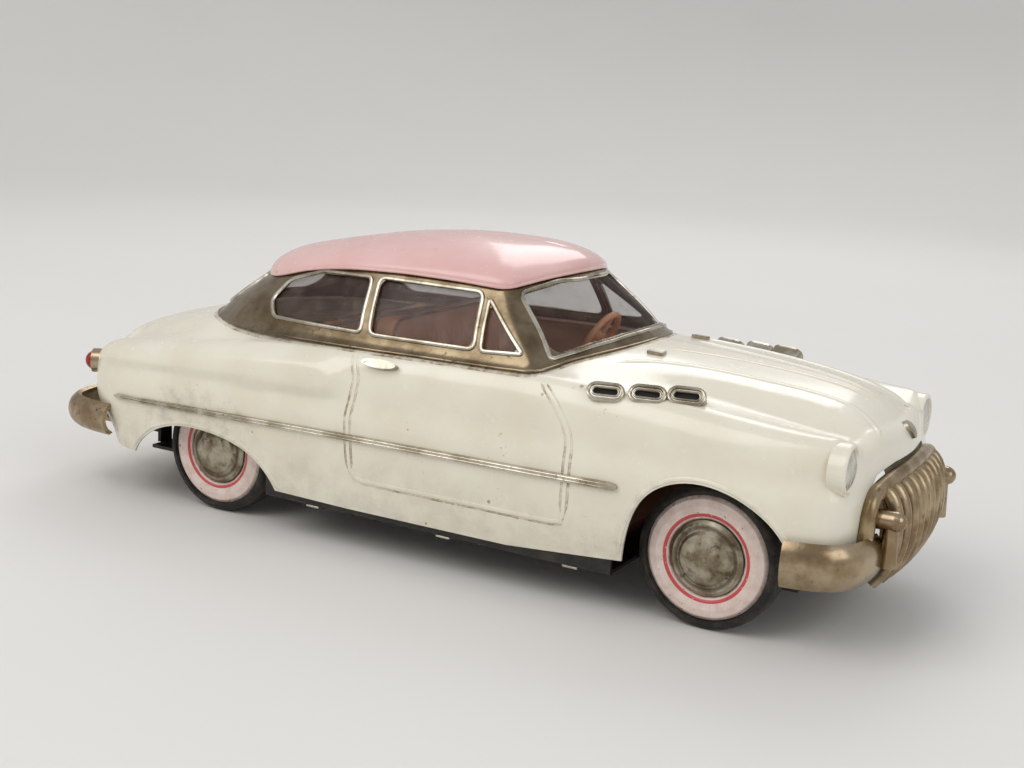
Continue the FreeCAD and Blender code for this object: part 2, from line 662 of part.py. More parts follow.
def hub_cap(x, side):
    """A domed plated cap with a stepped rim, on the disc's sunk centre."""
    points = [(0, 1.35), (6.9, 1.35), (7.6, 0.1), (6.9, -0.4), (6.2, -0.25), (5.6, -0.45), (5.0, -1.0),
              (3.6, -1.45), (1.8, -1.7), (0, -1.8)]
    return turned(points, x, side)


def axle(x):
    """A plain rod pressed into both drums."""
    half = WHEEL_FACE_Y - 1.4
    return Part.makeCylinder(AXLE_RADIUS, 2 * half, V(x, -half, TYRE_RADIUS), V(0, 1, 0))


# ---------------------------------------------------------------- front and rear dress
FRONT_BAR = [V(78.0, 38.6, 0), V(81.0, 38.3, 0), V(85.5, 37.0, 0), V(89.4, 34.0, 0), V(91.6, 30.0, 0),
             V(92.8, 25.0, 0), V(92.8, 19.0, 0), V(92.4, 12.0, 0), V(92.6, 5.0, 0), V(92.6, 0, 0)]
REAR_BAR = [V(-90.5, 37.6, 0), V(-94.0, 37.4, 0), V(-101.0, 36.6, 0), V(-106.8, 33.6, 0),
            V(-109.6, 28.0, 0), V(-110.8, 20.0, 0), V(-111.2, 10.0, 0), V(-111.3, 0, 0)]


def bar_net(line, depth, z_low, z_high, bulge, columns=44):
    """A bumper bar: rows over its height, bowed outwards, along its plan line."""
    rows = 9
    curve = control_curve(line, columns)
    net = []
    for i, p in enumerate(curve):
        along = curve[min(i + 1, columns - 1)] - curve[max(i - 1, 0)]
        outward = V(along.y, -along.x, 0).normalize()
        if outward.dot(V(p.x, p.y, 0)) < 0:
            outward = outward * -1
        if i == columns - 1:
            outward = V(1 if p.x > 0 else -1, 0, 0)
            p = V(p.x, 0, 0)
        row = []
        for k in range(rows):
            s = k / (rows - 1)
            swell = bulge * (math.sin(math.pi * s) ** 0.6 - 1)
            squeeze = depth * (1 - 2 * s) * 0.5
            row.append(p + outward * (swell - depth) + V(0, 0, z_low + (z_high - z_low) * s + squeeze))
        net.append(row)
    return net


def bumper_bar(line, z_low, z_high, bulge, thickness):
    """The sheet bar swept round the end of the car, open at the back."""
    outer = bar_net(line, 0.0, z_low, z_high, bulge)
    inner = bar_net(line, thickness, z_low, z_high, bulge)
    return sheet_solid(outer, inner, ["v0", "v1", "u0"])


def rod_along(points, radius):
    """A round rod along a smooth fitted line."""
    curve = Part.BSplineCurve()
    curve.interpolate([fitted(p) for p in points])
    start = curve.value(curve.FirstParameter)
    tangent = curve.tangent(curve.FirstParameter)[0]
    profile = Part.Wire(Part.Circle(start, tangent, radius).toShape())
    return Part.Wire(curve.toShape()).makePipeShell([profile], True, True)


TOOTH_COUNT = 10
TOOTH_PITCH = 4.0
TOOTH_RADIUS = 1.4
GRILLE_HALF = 21.0
TOOTH_BOW = 0.0042          # how fast the teeth stand back towards the sides
TOOTH_LINE = [(90.6, 31.6), (93.0, 30.6), (94.5, 27.8), (95.0, 24.0), (94.6, 19.4), (93.2, 15.4),
              (91.4, 12.8)]


def grille_teeth():
    """Curved rods side by side, set back towards the outer ends."""
    teeth = []
    for k in range(TOOTH_COUNT):
        y = (k - (TOOTH_COUNT - 1) / 2) * TOOTH_PITCH
        back = TOOTH_BOW * y * y
        teeth.append(rod_along([V(x - back, y, z) for x, z in TOOTH_LINE], TOOTH_RADIUS))
    return teeth


def backing_net(depth):
    """The left half of the sheet behind the teeth, bowed as they are."""
    net = []
    for k in range(9):
        y = GRILLE_HALF * (1 - k / 8)
        net.append([V(x - TOOTH_BOW * y * y - 0.9 - depth, y, z) for x, z in TOOTH_LINE])
    return net


def grille_backing():
    """The thin sheet behind the teeth."""
    return sheet_solid(backing_net(0.0), backing_net(0.8), ["v0", "v1", "u0"])


def grille_surround():
    """The thick inverted-U bar round the mouth, ending on the bumper."""
    side = [V(89.4, 24.4, 20.6), V(89.6, 24.4, 25.6), V(89.6, 23.2, 29.4), V(90.0, 18.6, 31.4),
            V(90.8, 10.0, 32.4)]
    line = side + [V(91.2, 0, 32.7)] + [V(p.x, -p.y, p.z) for p in reversed(side)]
    return rod_along(line, 1.65)


GUARD_RADIUS = 2.0
GUARD_Y = 20.8
GUARD_Z = 26.4


def bumper_guard(side):
    """A bullet-nosed guard on a round foot, standing forward of the bumper."""
    nose = [(0, 0), (0, GUARD_RADIUS), (5.1, GUARD_RADIUS)]
    for k in range(1, 7):
        a = math.pi / 2 * k / 6
        nose.append((5.1 + 2.2 * math.sin(a), GUARD_RADIUS * math.cos(a)))
    bullet = spindle(fitted(V(88.9, side * GUARD_Y, GUARD_Z)), V(1, 0, 0), nose)
    foot = [(0, 0), (0, 0.9 * GUARD_RADIUS), (8.4, 0.7 * GUARD_RADIUS), (8.4, 0)]
    stem = spindle(fitted(V(93.3, side * GUARD_Y, GUARD_Z - 9.0)), V(0, 0, 1), foot)
    return bullet.fuse(stem)


def front_bar():
    """The two wrap-round ends of the front bar, either side of the grille."""
    middle = box(70, 110, -GRILLE_HALF - 0.2, GRILLE_HALF + 0.2, 5, 40)
    return bumper_bar(FRONT_BAR, 14.5, 23.6, 1.9, 1.0).cut(middle)


def grille():
    """One plated pressing: the surround, the teeth and the sheet behind them."""
    return grille_surround().fuse([grille_backing()] + grille_teeth())


def rear_bumper():
    """The rear bar and the two irons that carry it from the base plate."""
    bar = bumper_bar(REAR_BAR, 14.2, 22.0, 2.2, 1.0)
    tail = long_x(-90.0)
    level = tall_z(BASE_Z) + PLATE
    end = long_x(-109.4)
    for y in (wide_y(-16.0), wide_y(16.0)):
        bar = bar.fuse(exact_box(end, tail, y - 2.0, y + 2.0, level + 2.4, level + 3.4))
        bar = bar.fuse(exact_box(end, end + 1.2, y - 2.0, y + 2.0, level + 2.4, tall_z(14.2) + 1.0))
        bar = bar.fuse(exact_box(tail - 1.0, tail, y - 2.0, y + 2.0, level, level + 3.4))
    return bar.removeSplitter()


# ---------------------------------------------------------------- trim on the body
def side_trim(band):
    """The long strip: thick rounded front end, thin tail."""
    points = [(44.6, 27.4), (44.1, 28.0), (42.6, 28.2), (-30, 27.0), (-70, 25.9), (-87.0, 25.1),
              (-88.2, 24.6), (-87.0, 24.0), (-70, 24.6), (-30, 25.7), (42.6, 26.7), (44.1, 26.8)]
    return band.common(polygon_xz(points, 30, 60))


def oval_prism(centre, direction, length, width, angle):
    """An oval prism about a direction out of the body, its long axis near X."""
    major = V(math.cos(angle), 0, math.sin(angle))
    major = (major - direction * major.dot(direction)).normalize()
    normal = direction
    ellipse = Part.Ellipse(centre + major * length / 2, centre + normal.cross(major) * width / 2, centre)
    face = Part.Face(Part.Wire(ellipse.toShape()))
    return face.extrude(normal * 16).fuse(face.extrude(normal * -8))


PORTS = [V(38.9, 34.2, 44.7), V(46.9, 32.2, 45.1), V(54.1, 30.0, 45.5)]
PORT_FACING = V(0.19, 0.78, 0.60)


def stadium(centre, facing, length, width, thickness):
    """A flat plate with half-round ends, its long side level, standing back from the centre."""
    out = V(facing.x, facing.y, facing.z).normalize()
    along = V(0, 0, 1).cross(out).normalize()
    middle = Part.makeBox(length - width, width, thickness, V(-(length - width) / 2, -width / 2, 0))
    for end in (-1, 1):
        middle = middle.fuse(Part.makeCylinder(width / 2, thickness, V(end * (length - width) / 2, 0, 0)))
    plate = middle.removeSplitter()
    turn = FreeCAD.Rotation(along, out.cross(along), out)
    plate.Placement = FreeCAD.Placement(centre - out * thickness, turn)
    return plate


def vent_ports(inside):
    """Three plates with a slot, along the bonnet side."""
    ports = []
    for centre in PORTS:
        place = fitted(centre) + PORT_FACING * PORT_LIFT
        plate = stadium(place, PORT_FACING, 7.5, 3.9, 3.0)
        slot = stadium(place + PORT_FACING, PORT_FACING, 4.8, 1.2, 6.0)
        ports.append(largest(plate.cut(slot).cut(inside)))
    return ports


def door_handle(band):
    """A slim raised bar on the door."""
    out = V(0, 0.9, 0.44).normalize()
    return band.common(oval_prism(fitted(V(-12.6, 35.4, 42.6)), out, 8.6, 2.0, 0.0))


def hood_badge(band):
    """A small plain oval on the nose."""
    out = V(0.86, 0, 0.5).normalize()
    centre = fitted(V(88.2, 0, 38.6))
    ellipse = Part.Ellipse(centre + V(-0.5, 0, 0.86) * 2.0, centre + V(0, 1.6, 0), centre)
    face = Part.Face(Part.Wire(ellipse.toShape()))
    return band.common(face.extrude(out * 6).fuse(face.extrude(out * -6)))


def polygon_yz(points, x0, x1):
    return prism([V(x0, y, z) for y, z in points], V(x1 - x0, 0, 0))


def cowl_clips(band):
    """Two small plates either side of the bonnet, in front of the windscreen."""
    clips = []
    for side in (1, -1):
        outline = [(38, side * 11.0), (41.4, side * 11.0), (41.4, side * 13.4), (38, side * 13.4)]
        clips.append(band.common(polygon_xy(outline, 45, 60)))
    return clips


LAMP_Y = 28.6
LAMP_Z = 36.6
LAMP_FACE_X = 86.5
LAMP_BORE = 3.9
LAMP_RADIUS = 5.0


def headlamp(side):
    """An embossed rim and a low domed lens on the wing's front face."""
    centre = fitted(V(LAMP_FACE_X, side * LAMP_Y, LAMP_Z)) - V(3.0, 0, 0)
    rim = spindle(centre, V(1, 0, 0), [(0, LAMP_BORE), (0, LAMP_RADIUS), (3.0, LAMP_RADIUS),
                                       (3.4, LAMP_RADIUS - 0.2), (3.5, LAMP_RADIUS - 0.55),
                                       (3.4, LAMP_BORE + 0.2), (3.0, LAMP_BORE)])
    dome = Part.makeSphere(9.0, centre + V(3.9 - 9.0, 0, 0))
    lens = dome.common(Part.makeCylinder(LAMP_BORE - FIT, 6.0, centre + V(1, 0, 0), V(1, 0, 0)))
    return rim, lens


def tail_lamp(side):
    """A round rim and a domed lens on the wing's rear corner."""
    centre = fitted(V(-96.9, side * 28.5, 30.5))
    out = V(-0.86, side * 0.5, 0).normalize()
    ring = Part.makeCylinder(2.9, 4.0, centre, out)
    lens = Part.makeSphere(2.3, centre + out * 3.6)
    lens = lens.common(Part.makeCylinder(2.3, 4, centre + out * (4.0 + FIT), out))
    return ring, lens


def number_plate():
    """A blank plate on the tail."""
    return box(-104.6, -103.7, -11.0, 11.0, 24.4, 31.4)


# ---------------------------------------------------------------- build
def build():
    """Makes every piece and stores it under its name."""
    raised = band_solid(-TRIM_LIFT, -FIT)
    shell = body_shell()
    keep("body_shell", shell)
    keep("window_frame", window_frame())
    keep("roof_panel", roof_panel())
    for name, pane in glazing().items():
        keep(name, pane)
    keep("base_plate", base_plate())
    keep("cabin_floor", cabin_floor())
    keep("front_seat", seat(2.0, -18.0, 50.5, 26.0, FLOOR_Z + 1.2))
    keep("rear_seat", seat(-24.0, -38.6, 46.0, 26.0, FLOOR_Z + 1.2))
    keep("dashboard", dashboard())
    keep("steering_wheel", steering_wheel())
    keep("steering_column", largest(steering_column().cut(dashboard())))
    keep("motor_block", motor_block())
    for name, x in (("front", HALF_BASE), ("rear", -HALF_BASE)):
        keep(name + "_axle", axle(x))
        for side, label in ((1, "left"), (-1, "right")):
            keep(name + "_tyre_" + label, tyre(x, side))
        keep(name + "_wheel_discs", wheel_disc(x, 1), wheel_disc(x, -1))
        keep(name + "_hub_caps", hub_cap(x, 1), hub_cap(x, -1))
    inside = body_volume()
    ends = largest_pair(front_bar().cut(inside))
    keep("front_bumper", *ends)
    plated_grille = largest(grille().cut(inside).cut(ends))
    keep("grille", plated_grille)
    guards = [largest(bumper_guard(side).cut(ends + [plated_grille])) for side in (1, -1)]
    keep("bumper_guards", *guards)
    keep("rear_bumper", largest(rear_bumper().cut(shell)))
    trim = side_trim(raised)
    keep("side_trims", trim, mirrored_y(trim))
    handle = door_handle(band_solid(-1.6, -FIT))
    keep("door_handles", handle, mirrored_y(handle))
    ports = vent_ports(inside)
    keep("vent_ports", *(ports + [mirrored_y(p) for p in ports]))
    keep("hood_badge", hood_badge(raised))
    keep("cowl_clips", *cowl_clips(raised))
    lamps = [headlamp(1), headlamp(-1)]
    keep("headlamp_rims", *[largest(a.cut(inside)) for a, _ in lamps])
    keep("headlamp_lenses", *[largest(b.cut(inside)) for _, b in lamps])
    tails = [tail_lamp(1), tail_lamp(-1)]
    keep("tail_lamp_rims", *[largest(a.cut(inside)) for a, _ in tails])
    keep("tail_lamp_lenses", *[b for _, b in tails])
    keep("number_plate", largest(number_plate().cut(inside)))


build()
for name, shape in sorted(PARTS.items()):
    shape.exportStep("parts/" + name + ".step")
    print(name, "valid", shape.isValid(), "solids", len(shape.Solids), "mm3", round(shape.Volume, 1))
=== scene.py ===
import json
import math

import bmesh
import bpy
from mathutils import Matrix, Vector
from mathutils.bvhtree import BVHTree

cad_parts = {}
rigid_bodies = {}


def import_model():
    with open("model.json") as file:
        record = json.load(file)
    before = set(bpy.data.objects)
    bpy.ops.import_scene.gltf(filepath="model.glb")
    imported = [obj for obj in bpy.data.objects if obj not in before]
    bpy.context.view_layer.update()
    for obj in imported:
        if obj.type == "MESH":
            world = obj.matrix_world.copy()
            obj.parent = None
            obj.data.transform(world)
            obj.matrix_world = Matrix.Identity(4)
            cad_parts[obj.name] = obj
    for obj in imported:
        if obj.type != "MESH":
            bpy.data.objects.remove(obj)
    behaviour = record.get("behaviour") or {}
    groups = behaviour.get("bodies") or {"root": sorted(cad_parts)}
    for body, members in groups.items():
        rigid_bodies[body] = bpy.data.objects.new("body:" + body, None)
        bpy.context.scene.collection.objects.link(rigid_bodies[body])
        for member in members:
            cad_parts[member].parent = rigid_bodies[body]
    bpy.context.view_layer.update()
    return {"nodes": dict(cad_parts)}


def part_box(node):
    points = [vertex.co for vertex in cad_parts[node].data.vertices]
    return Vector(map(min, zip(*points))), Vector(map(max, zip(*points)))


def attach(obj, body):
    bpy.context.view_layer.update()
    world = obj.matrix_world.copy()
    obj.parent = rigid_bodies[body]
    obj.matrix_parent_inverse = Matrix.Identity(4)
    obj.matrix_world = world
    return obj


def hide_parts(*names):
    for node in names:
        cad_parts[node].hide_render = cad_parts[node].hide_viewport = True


# %% [markdown]
# # A tinplate toy sedan
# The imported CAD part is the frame: it fixes every size and place. This script dresses it.
# Each step adds one kind of detail: first the tools, then materials, then pressed lines,
# window rims, lamps, trim, cabin and underside, and last the light and the camera.
# Lengths are written in millimetres from the middle of the wheelbase and turned into
# metres in the row frame by `at`.

# %% Load the frame
for leftover in list(bpy.data.objects):
    bpy.data.objects.remove(leftover)
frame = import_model()
nodes = frame["nodes"]
MM = 0.001
WHEELBASE = 122.0
front_low, front_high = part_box("front_axle")
rear_low, rear_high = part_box("rear_axle")
MID_X = (front_low.x + front_high.x + rear_low.x + rear_high.x) / 4
AXLE_Z = (front_low.z + front_high.z) / 2


def at(x, y, z):
    """A point given in millimetres from the wheelbase middle, in metres in the row frame."""
    return Vector((MID_X + x * MM, y * MM, z * MM))


# %% [markdown]
# ## Looking up the pressed surfaces
# Details that lie on the tin are placed by dropping points onto the CAD meshes, so they
# follow every curve of the body without a table of points.

# %% Surface look-ups
trees = {}


def surface(node):
    """The search tree of a CAD node's mesh."""
    if node not in trees:
        mesh = nodes[node].data
        trees[node] = BVHTree.FromPolygons([v.co.copy() for v in mesh.vertices],
                                           [tuple(p.vertices) for p in mesh.polygons])
    return trees[node]


def drop(node, start, direction):
    """Where a ray meets a node, and the surface normal there."""
    place, normal, _, _ = surface(node).ray_cast(start, direction, 0.5)
    if place is None:
        return None
    if normal.dot(direction) > 0:
        normal = -normal
    return place, normal


def on_side(node, x, z, side):
    """The point of a node's outer side at a station and height; side is +1 left, -1 right."""
    return drop(node, at(x, side * 100.0, z), Vector((0, -side, 0)))


def on_top(node, x, y):
    """The point of a node's top above a place on the ground."""
    return drop(node, at(x, y, 100.0), Vector((0, 0, -1)))


def on_front(node, y, z, facing=1):
    """The point of a node's front, or of its back where facing is -1."""
    return drop(node, at(facing * 200.0, y, z), Vector((-facing, 0, 0)))


def smooth_path(points, spacing=1.0, closed=False):
    """Evenly spaced points on a smooth curve through the given pairs."""
    count = len(points)
    spans = count if closed else count - 1
    found = []
    for i in range(spans):
        p1 = Vector(points[i])
        p2 = Vector(points[(i + 1) % count])
        p0 = Vector(points[i - 1]) if closed or i > 0 else p1 * 2 - p2
        p3 = Vector(points[(i + 2) % count]) if closed or i + 2 < count else p2 * 2 - p1
        steps = max(2, int((p2 - p1).length / spacing))
        for k in range(steps):
            t = k / steps
            found.append(0.5 * (2 * p1 + (p2 - p0) * t + (2 * p0 - 5 * p1 + 4 * p2 - p3) * t ** 2
                                + (3 * p1 - p0 - 3 * p2 + p3) * t ** 3))
    if not closed:
        found.append(Vector(points[-1]))
    return found


def rounded_path(corners, radius, spacing=1.0):
    """A closed outline with straight sides and round corners, as evenly spaced points."""
    found = []
    count = len(corners)
    for i in range(count):
        before = Vector(corners[i - 1])
        corner = Vector(corners[i])
        after = Vector(corners[(i + 1) % count])
        into = (before - corner).normalized()
        out = (after - corner).normalized()
        start = corner + into * radius
        end = corner + out * radius
        for k in range(5):
            t = k / 4
            found.append(start * (1 - t) ** 2 + corner * 2 * t * (1 - t) + end * t ** 2)
        nearly = Vector(corners[(i + 1) % count])
        run = (nearly - corner).length - 2 * radius
        steps = max(1, int(run / spacing))
        for k in range(1, steps):
            found.append(end + out * run * k / steps)
    return found


print("surfaces", len(surface("body_shell").find_nearest(at(0, 0, 50))), "values per look-up")

# %% [markdown]
# ## Making pieces
# `sweep` draws a ring at each station of a path and bridges the rings, so a bead, rim or
# rod is one closed skin. `finish_piece` turns the mesh into an object on its body.

# %% Piece builders
MIRROR_SIDES = (("left", 1), ("right", -1))


def frames_along(places, normals, closed):
    """Tangent, side and normal directions at each station."""
    count = len(places)
    found = []
    for i in range(count):
        ahead = places[(i + 1) % count] if closed or i + 1 < count else places[i]
        behind = places[i - 1] if closed or i > 0 else places[i]
        tangent = (ahead - behind).normalized()
        side = normals[i].cross(tangent).normalized()
        found.append((tangent, side, tangent.cross(side).normalized()))
    return found


def sweep(bm, places, normals, width, height, closed=False, segments=8, taper=0):
    """Bridges rings of the given half-width and half-height along a path, tapering the ends."""
    rings = []
    count = len(places)
    for i, (tangent, side, normal) in enumerate(frames_along(places, normals, closed)):
        scale = 1.0
        if taper and not closed:
            edge = min(i, count - 1 - i)
            scale = math.sqrt(max(0.0, 1 - (1 - min(edge, taper) / taper) ** 2)) if edge < taper else 1.0
            scale = max(scale, 0.08)
        turn = Matrix((side * width * scale, normal * height * scale, tangent)).transposed().to_4x4()
        turn.translation = places[i]
        ring = bmesh.ops.create_circle(bm, segments=segments, radius=1.0, matrix=turn)["verts"]
        rings.append(list(dict.fromkeys(edge for v in ring for edge in v.link_edges)))
    pairs = list(zip(rings, rings[1:]))
    if closed:
        pairs.append((rings[-1], rings[0]))
    for first, second in pairs:
        bmesh.ops.bridge_loops(bm, edges=first + second)
    if not closed:
        for ring in (rings[0], rings[-1]):
            bmesh.ops.contextual_create(bm, geom=ring)


def spun(bm, outline, centre, axis, across, steps=48):
    """Turns an outline of (radius, distance along the axis) about the axis."""
    verts = [bm.verts.new(centre + across * r + axis * d) for r, d in outline]
    edges = [bm.edges.new(pair) for pair in zip(verts, verts[1:])]
    bmesh.ops.spin(bm, geom=verts + edges, cent=centre, axis=axis, dvec=(0, 0, 0),
                   angle=math.tau, steps=steps, use_merge=True, use_duplicate=False)
    bmesh.ops.remove_doubles(bm, verts=bm.verts, dist=1e-6)


def block(bm, centre, size, bevel=0.0, turn=None):
    """A box with rounded edges."""
    placed = Matrix.Translation(centre)
    if turn is not None:
        placed = placed @ turn.to_4x4()
    made = bmesh.ops.create_cube(bm, size=1.0, matrix=placed @ Matrix.Diagonal((*size, 1.0)))["verts"]
    if bevel:
        edges = list(dict.fromkeys(edge for v in made for edge in v.link_edges))
        bmesh.ops.bevel(bm, geom=edges, offset=bevel, segments=3, profile=0.5, affect="EDGES", material=-1)


def finish_piece(name, bm, material, body="toy_body", stands_for=(), sharp=40.0):
    """Makes the mesh an object that rides on a body, and hides the CAD nodes it stands for."""
    bmesh.ops.remove_doubles(bm, verts=bm.verts, dist=1e-7)
    bmesh.ops.recalc_face_normals(bm, faces=bm.faces)
    mesh = bpy.data.meshes.new(name)
    bm.to_mesh(mesh)
    bm.free()
    piece = bpy.data.objects.new(name, mesh)
    bpy.context.scene.collection.objects.link(piece)
    mesh.materials.append(material)
    mesh.shade_smooth()
    mesh.set_sharp_from_angle(angle=math.radians(sharp))
    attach(piece, body)
    if stands_for:
        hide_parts(*stands_for)
    print(name, len(mesh.polygons), "faces")
    return piece


# %% [markdown]
# ## Materials
# Every finish is worked out from position on the piece. `Socket` lets shader arithmetic be
# written as ordinary expressions, and `Finish.add` makes every other node.

# %% Shader tools


class Socket:
    """A shader value that adds Math nodes when used in an expression."""

    def __init__(self, finish, output):
        self.finish = finish
        self.output = output

    def maths(self, operation, *values, clamp=False):
        return self.finish.add("ShaderNodeMath", {"operation": operation, "use_clamp": clamp},
                               dict(enumerate(values)))

    def __add__(self, other):
        return self.maths("ADD", self, other)

    def __radd__(self, other):
        return self.maths("ADD", other, self)

    def __sub__(self, other):
        return self.maths("SUBTRACT", self, other)

    def __rsub__(self, other):
        return self.maths("SUBTRACT", other, self)

    def __mul__(self, other):
        return self.maths("MULTIPLY", self, other)

    def __rmul__(self, other):
        return self.maths("MULTIPLY", other, self)

    def clamped(self):
        return self.maths("ADD", self, 0.0, clamp=True)

    def largest(self, other):
        return self.maths("MAXIMUM", self, other)

    def rise(self, start, end):
        """0 below start, 1 above end, smooth between."""
        return self.finish.add("ShaderNodeMapRange", {"interpolation_type": "SMOOTHSTEP"},
                               {"Value": self, "From Min": start, "From Max": end})


class Finish:
    """A material under construction, with its shader and the object coordinates."""

    def __init__(self, name):
        self.material = bpy.data.materials.new(name)
        self.material.use_nodes = True
        self.tree = self.material.node_tree
        self.shader = self.tree.nodes["Principled BSDF"]
        self.place = self.add("ShaderNodeTexCoord", output="Object")

    def add(self, kind, settings=None, inputs=None, output=0):
        node = self.tree.nodes.new(kind)
        for key, value in (settings or {}).items():
            setattr(node, key, value)
        for key, value in (inputs or {}).items():
            self.feed(node.inputs[key], value)
        return Socket(self, node.outputs[output])

    def feed(self, socket, value):
        if isinstance(value, Socket):
            self.tree.links.new(value.output, socket)
        else:
            socket.default_value = value

    def set(self, **values):
        for key, value in values.items():
            self.feed(self.shader.inputs[key.replace("_", " ")], value)
        return self

    def axes(self):
        node = self.tree.nodes.new("ShaderNodeSeparateXYZ")
        self.feed(node.inputs[0], self.place)
        return [Socket(self, output) for output in node.outputs]

    def noise(self, per_metre, detail=4.0, roughness=0.55, stretch=(1, 1, 1), shift=0.0):
        moved = self.add("ShaderNodeMapping", None,
                         {"Vector": self.place, "Scale": stretch, "Location": (shift, shift, 0)})
        return self.add("ShaderNodeTexNoise", None, {"Vector": moved, "Scale": per_metre,
                                                     "Detail": detail, "Roughness": roughness})

    def cells(self, per_metre):
        return self.add("ShaderNodeTexVoronoi", None, {"Vector": self.place, "Scale": per_metre})

    def mix(self, share, first, second):
        node = self.tree.nodes.new("ShaderNodeMix")
        node.data_type = "RGBA"
        self.feed(node.inputs[0], share)
        self.feed(node.inputs[6], first)
        self.feed(node.inputs[7], second)
        return Socket(self, node.outputs[2])

    def bump(self, height, strength, distance):
        return self.add("ShaderNodeBump", None,
                        {"Height": height, "Strength": strength, "Distance": distance})


def colour(red, green, blue):
    """A display colour (0 to 255) as the linear colour that a shader takes."""
    return tuple(((v / 255) ** 2.2) for v in (red, green, blue)) + (1.0,)


RUST = colour(122, 70, 34)
GRIME = colour(74, 58, 42)


def axle_distance(finish):
    """How far a point is from the nearer axle line."""
    x, _, z = finish.axes()
    along = (x - MID_X).maths("ABSOLUTE", x - MID_X) - WHEELBASE / 2 * MM
    up = z - AXLE_Z
    return (along * along + up * up).maths("SQRT", along * along + up * up)


# %% [markdown]
# ## Paint on tin
# Toy lacquer is a thick gloss coat on bare sheet. Age turns it uneven, dust and oil settle
# low on the body and round the wheel openings, and small chips show rusty tin.

# %% Paint
def aged_paint(name, fresh, faded, low_grime=1.0, chips=1.0):
    finish = Finish(name)
    x, y, z = finish.axes()
    cloud = finish.noise(55, 5)
    fine = finish.noise(420, 6, 0.7)
    tone = finish.mix(cloud.rise(0.34, 0.68), fresh, faded)
    sill = z.rise(0.028, 0.009) * finish.noise(170, 6, 0.65).rise(0.34, 0.72) * 0.24 * low_grime
    arch = axle_distance(finish).rise(0.0205, 0.0165) * z.rise(0.034, 0.026)
    arch = arch * finish.noise(260, 5, 0.7).rise(0.42, 0.72) * 0.3
    dirt = sill.largest(arch * low_grime)
    tone = finish.mix(dirt, tone, GRIME)
    patch = finish.noise(70, 3, shift=0.7).rise(0.58, 0.70)
    chip = finish.noise(1100, 3, 0.5).rise(0.685, 0.70) * patch * chips
    speck = finish.cells(230).rise(0.105, 0.085) * finish.noise(45, 2, shift=2.0).rise(0.58, 0.66) * chips
    marks = chip.largest(speck * 0.85)
    finish.set(Base_Color=finish.mix(marks, tone, RUST),
               Roughness=cloud * 0.12 + fine.rise(0.5, 0.8) * 0.10 + dirt * 0.4 + marks * 0.4 + 0.17,
               Coat_Weight=0.35, Coat_Roughness=0.09, Specular_IOR_Level=0.5,
               Normal=finish.bump(fine * 0.25 + cloud * 0.5 - marks, 0.35, 0.00012))
    return finish.material


cream_paint = aged_paint("cream_paint", colour(233, 228, 211), colour(226, 219, 199), chips=0.7)
pink_paint = aged_paint("pink_paint", colour(231, 190, 186), colour(224, 178, 173), chips=0.5)
plate_white = aged_paint("plate_white", colour(226, 222, 210), colour(205, 198, 180))
print("paint finishes", cream_paint.name, pink_paint.name)

# %% [markdown]
# ## Tarnished plating
# The bright pieces are thin nickel on tin. It has gone brown and cloudy, with dark spots and
# greasy streaks, so both colour and gloss vary and it is never a clean mirror. The near-black middle of the
# rear bumper's inner part and the gaps between the grille teeth are painted shade.


# %% Plating
def old_plate(name, bright, dull, spotted, rough, lines=0.0):
    finish = Finish(name)
    cloud = finish.noise(120, 5, 0.6)
    spots = finish.noise(640, 5, 0.62)
    streak = finish.noise(210, 4, 0.6, stretch=(0.25, 1, 2.2), shift=1.3)
    tint = finish.mix(cloud.rise(0.36, 0.66), bright, dull)
    tint = finish.mix(streak.rise(0.55, 0.75) * 0.3, tint, spotted)
    dark = spots.rise(0.59, 0.73) * 0.55
    tint = finish.mix(dark, tint, spotted)
    finish.set(Base_Color=tint, Metallic=0.97 - dark * 0.5,
               Roughness=cloud * 0.12 + dark * 0.3 + streak * 0.08 + rough,
               Normal=finish.bump(spots + streak * lines, 0.30, 0.00010))
    return finish.material


plating = old_plate("plating", colour(180, 163, 136), colour(140, 120, 93), colour(86, 64, 42), 0.13)
frame_plate = old_plate("frame_plate", colour(142, 127, 104), colour(104, 90, 70), colour(62, 48, 34), 0.13)
trim_plate = old_plate("trim_plate", colour(206, 200, 186), colour(150, 140, 120), colour(92, 72, 50), 0.15)

finish = Finish("rear_plate")
x, y, z = finish.axes()
cloud = finish.noise(120, 5, 0.6)
spots = finish.noise(640, 5, 0.62)
# Painted shade: the middle of the bumper's part towards the body is made near black and hardly metallic.
shaded = (x - MID_X).rise(-0.1035, -0.1015)
tint = finish.mix(cloud.rise(0.36, 0.66), colour(180, 163, 136), colour(140, 120, 93))
tint = finish.mix(spots.rise(0.56, 0.70) * 0.8, tint, colour(82, 60, 38))
shaded = shaded * y.maths("ABSOLUTE", y).rise(0.030, 0.028)
finish.set(Base_Color=finish.mix(shaded, tint, colour(30, 28, 26)), Metallic=0.95 - shaded * 0.9,
           Roughness=cloud * 0.18 + spots * 0.2 + shaded * 0.3 + 0.14,
           Normal=finish.bump(spots, 0.30, 0.00010))
rear_plate = finish.material

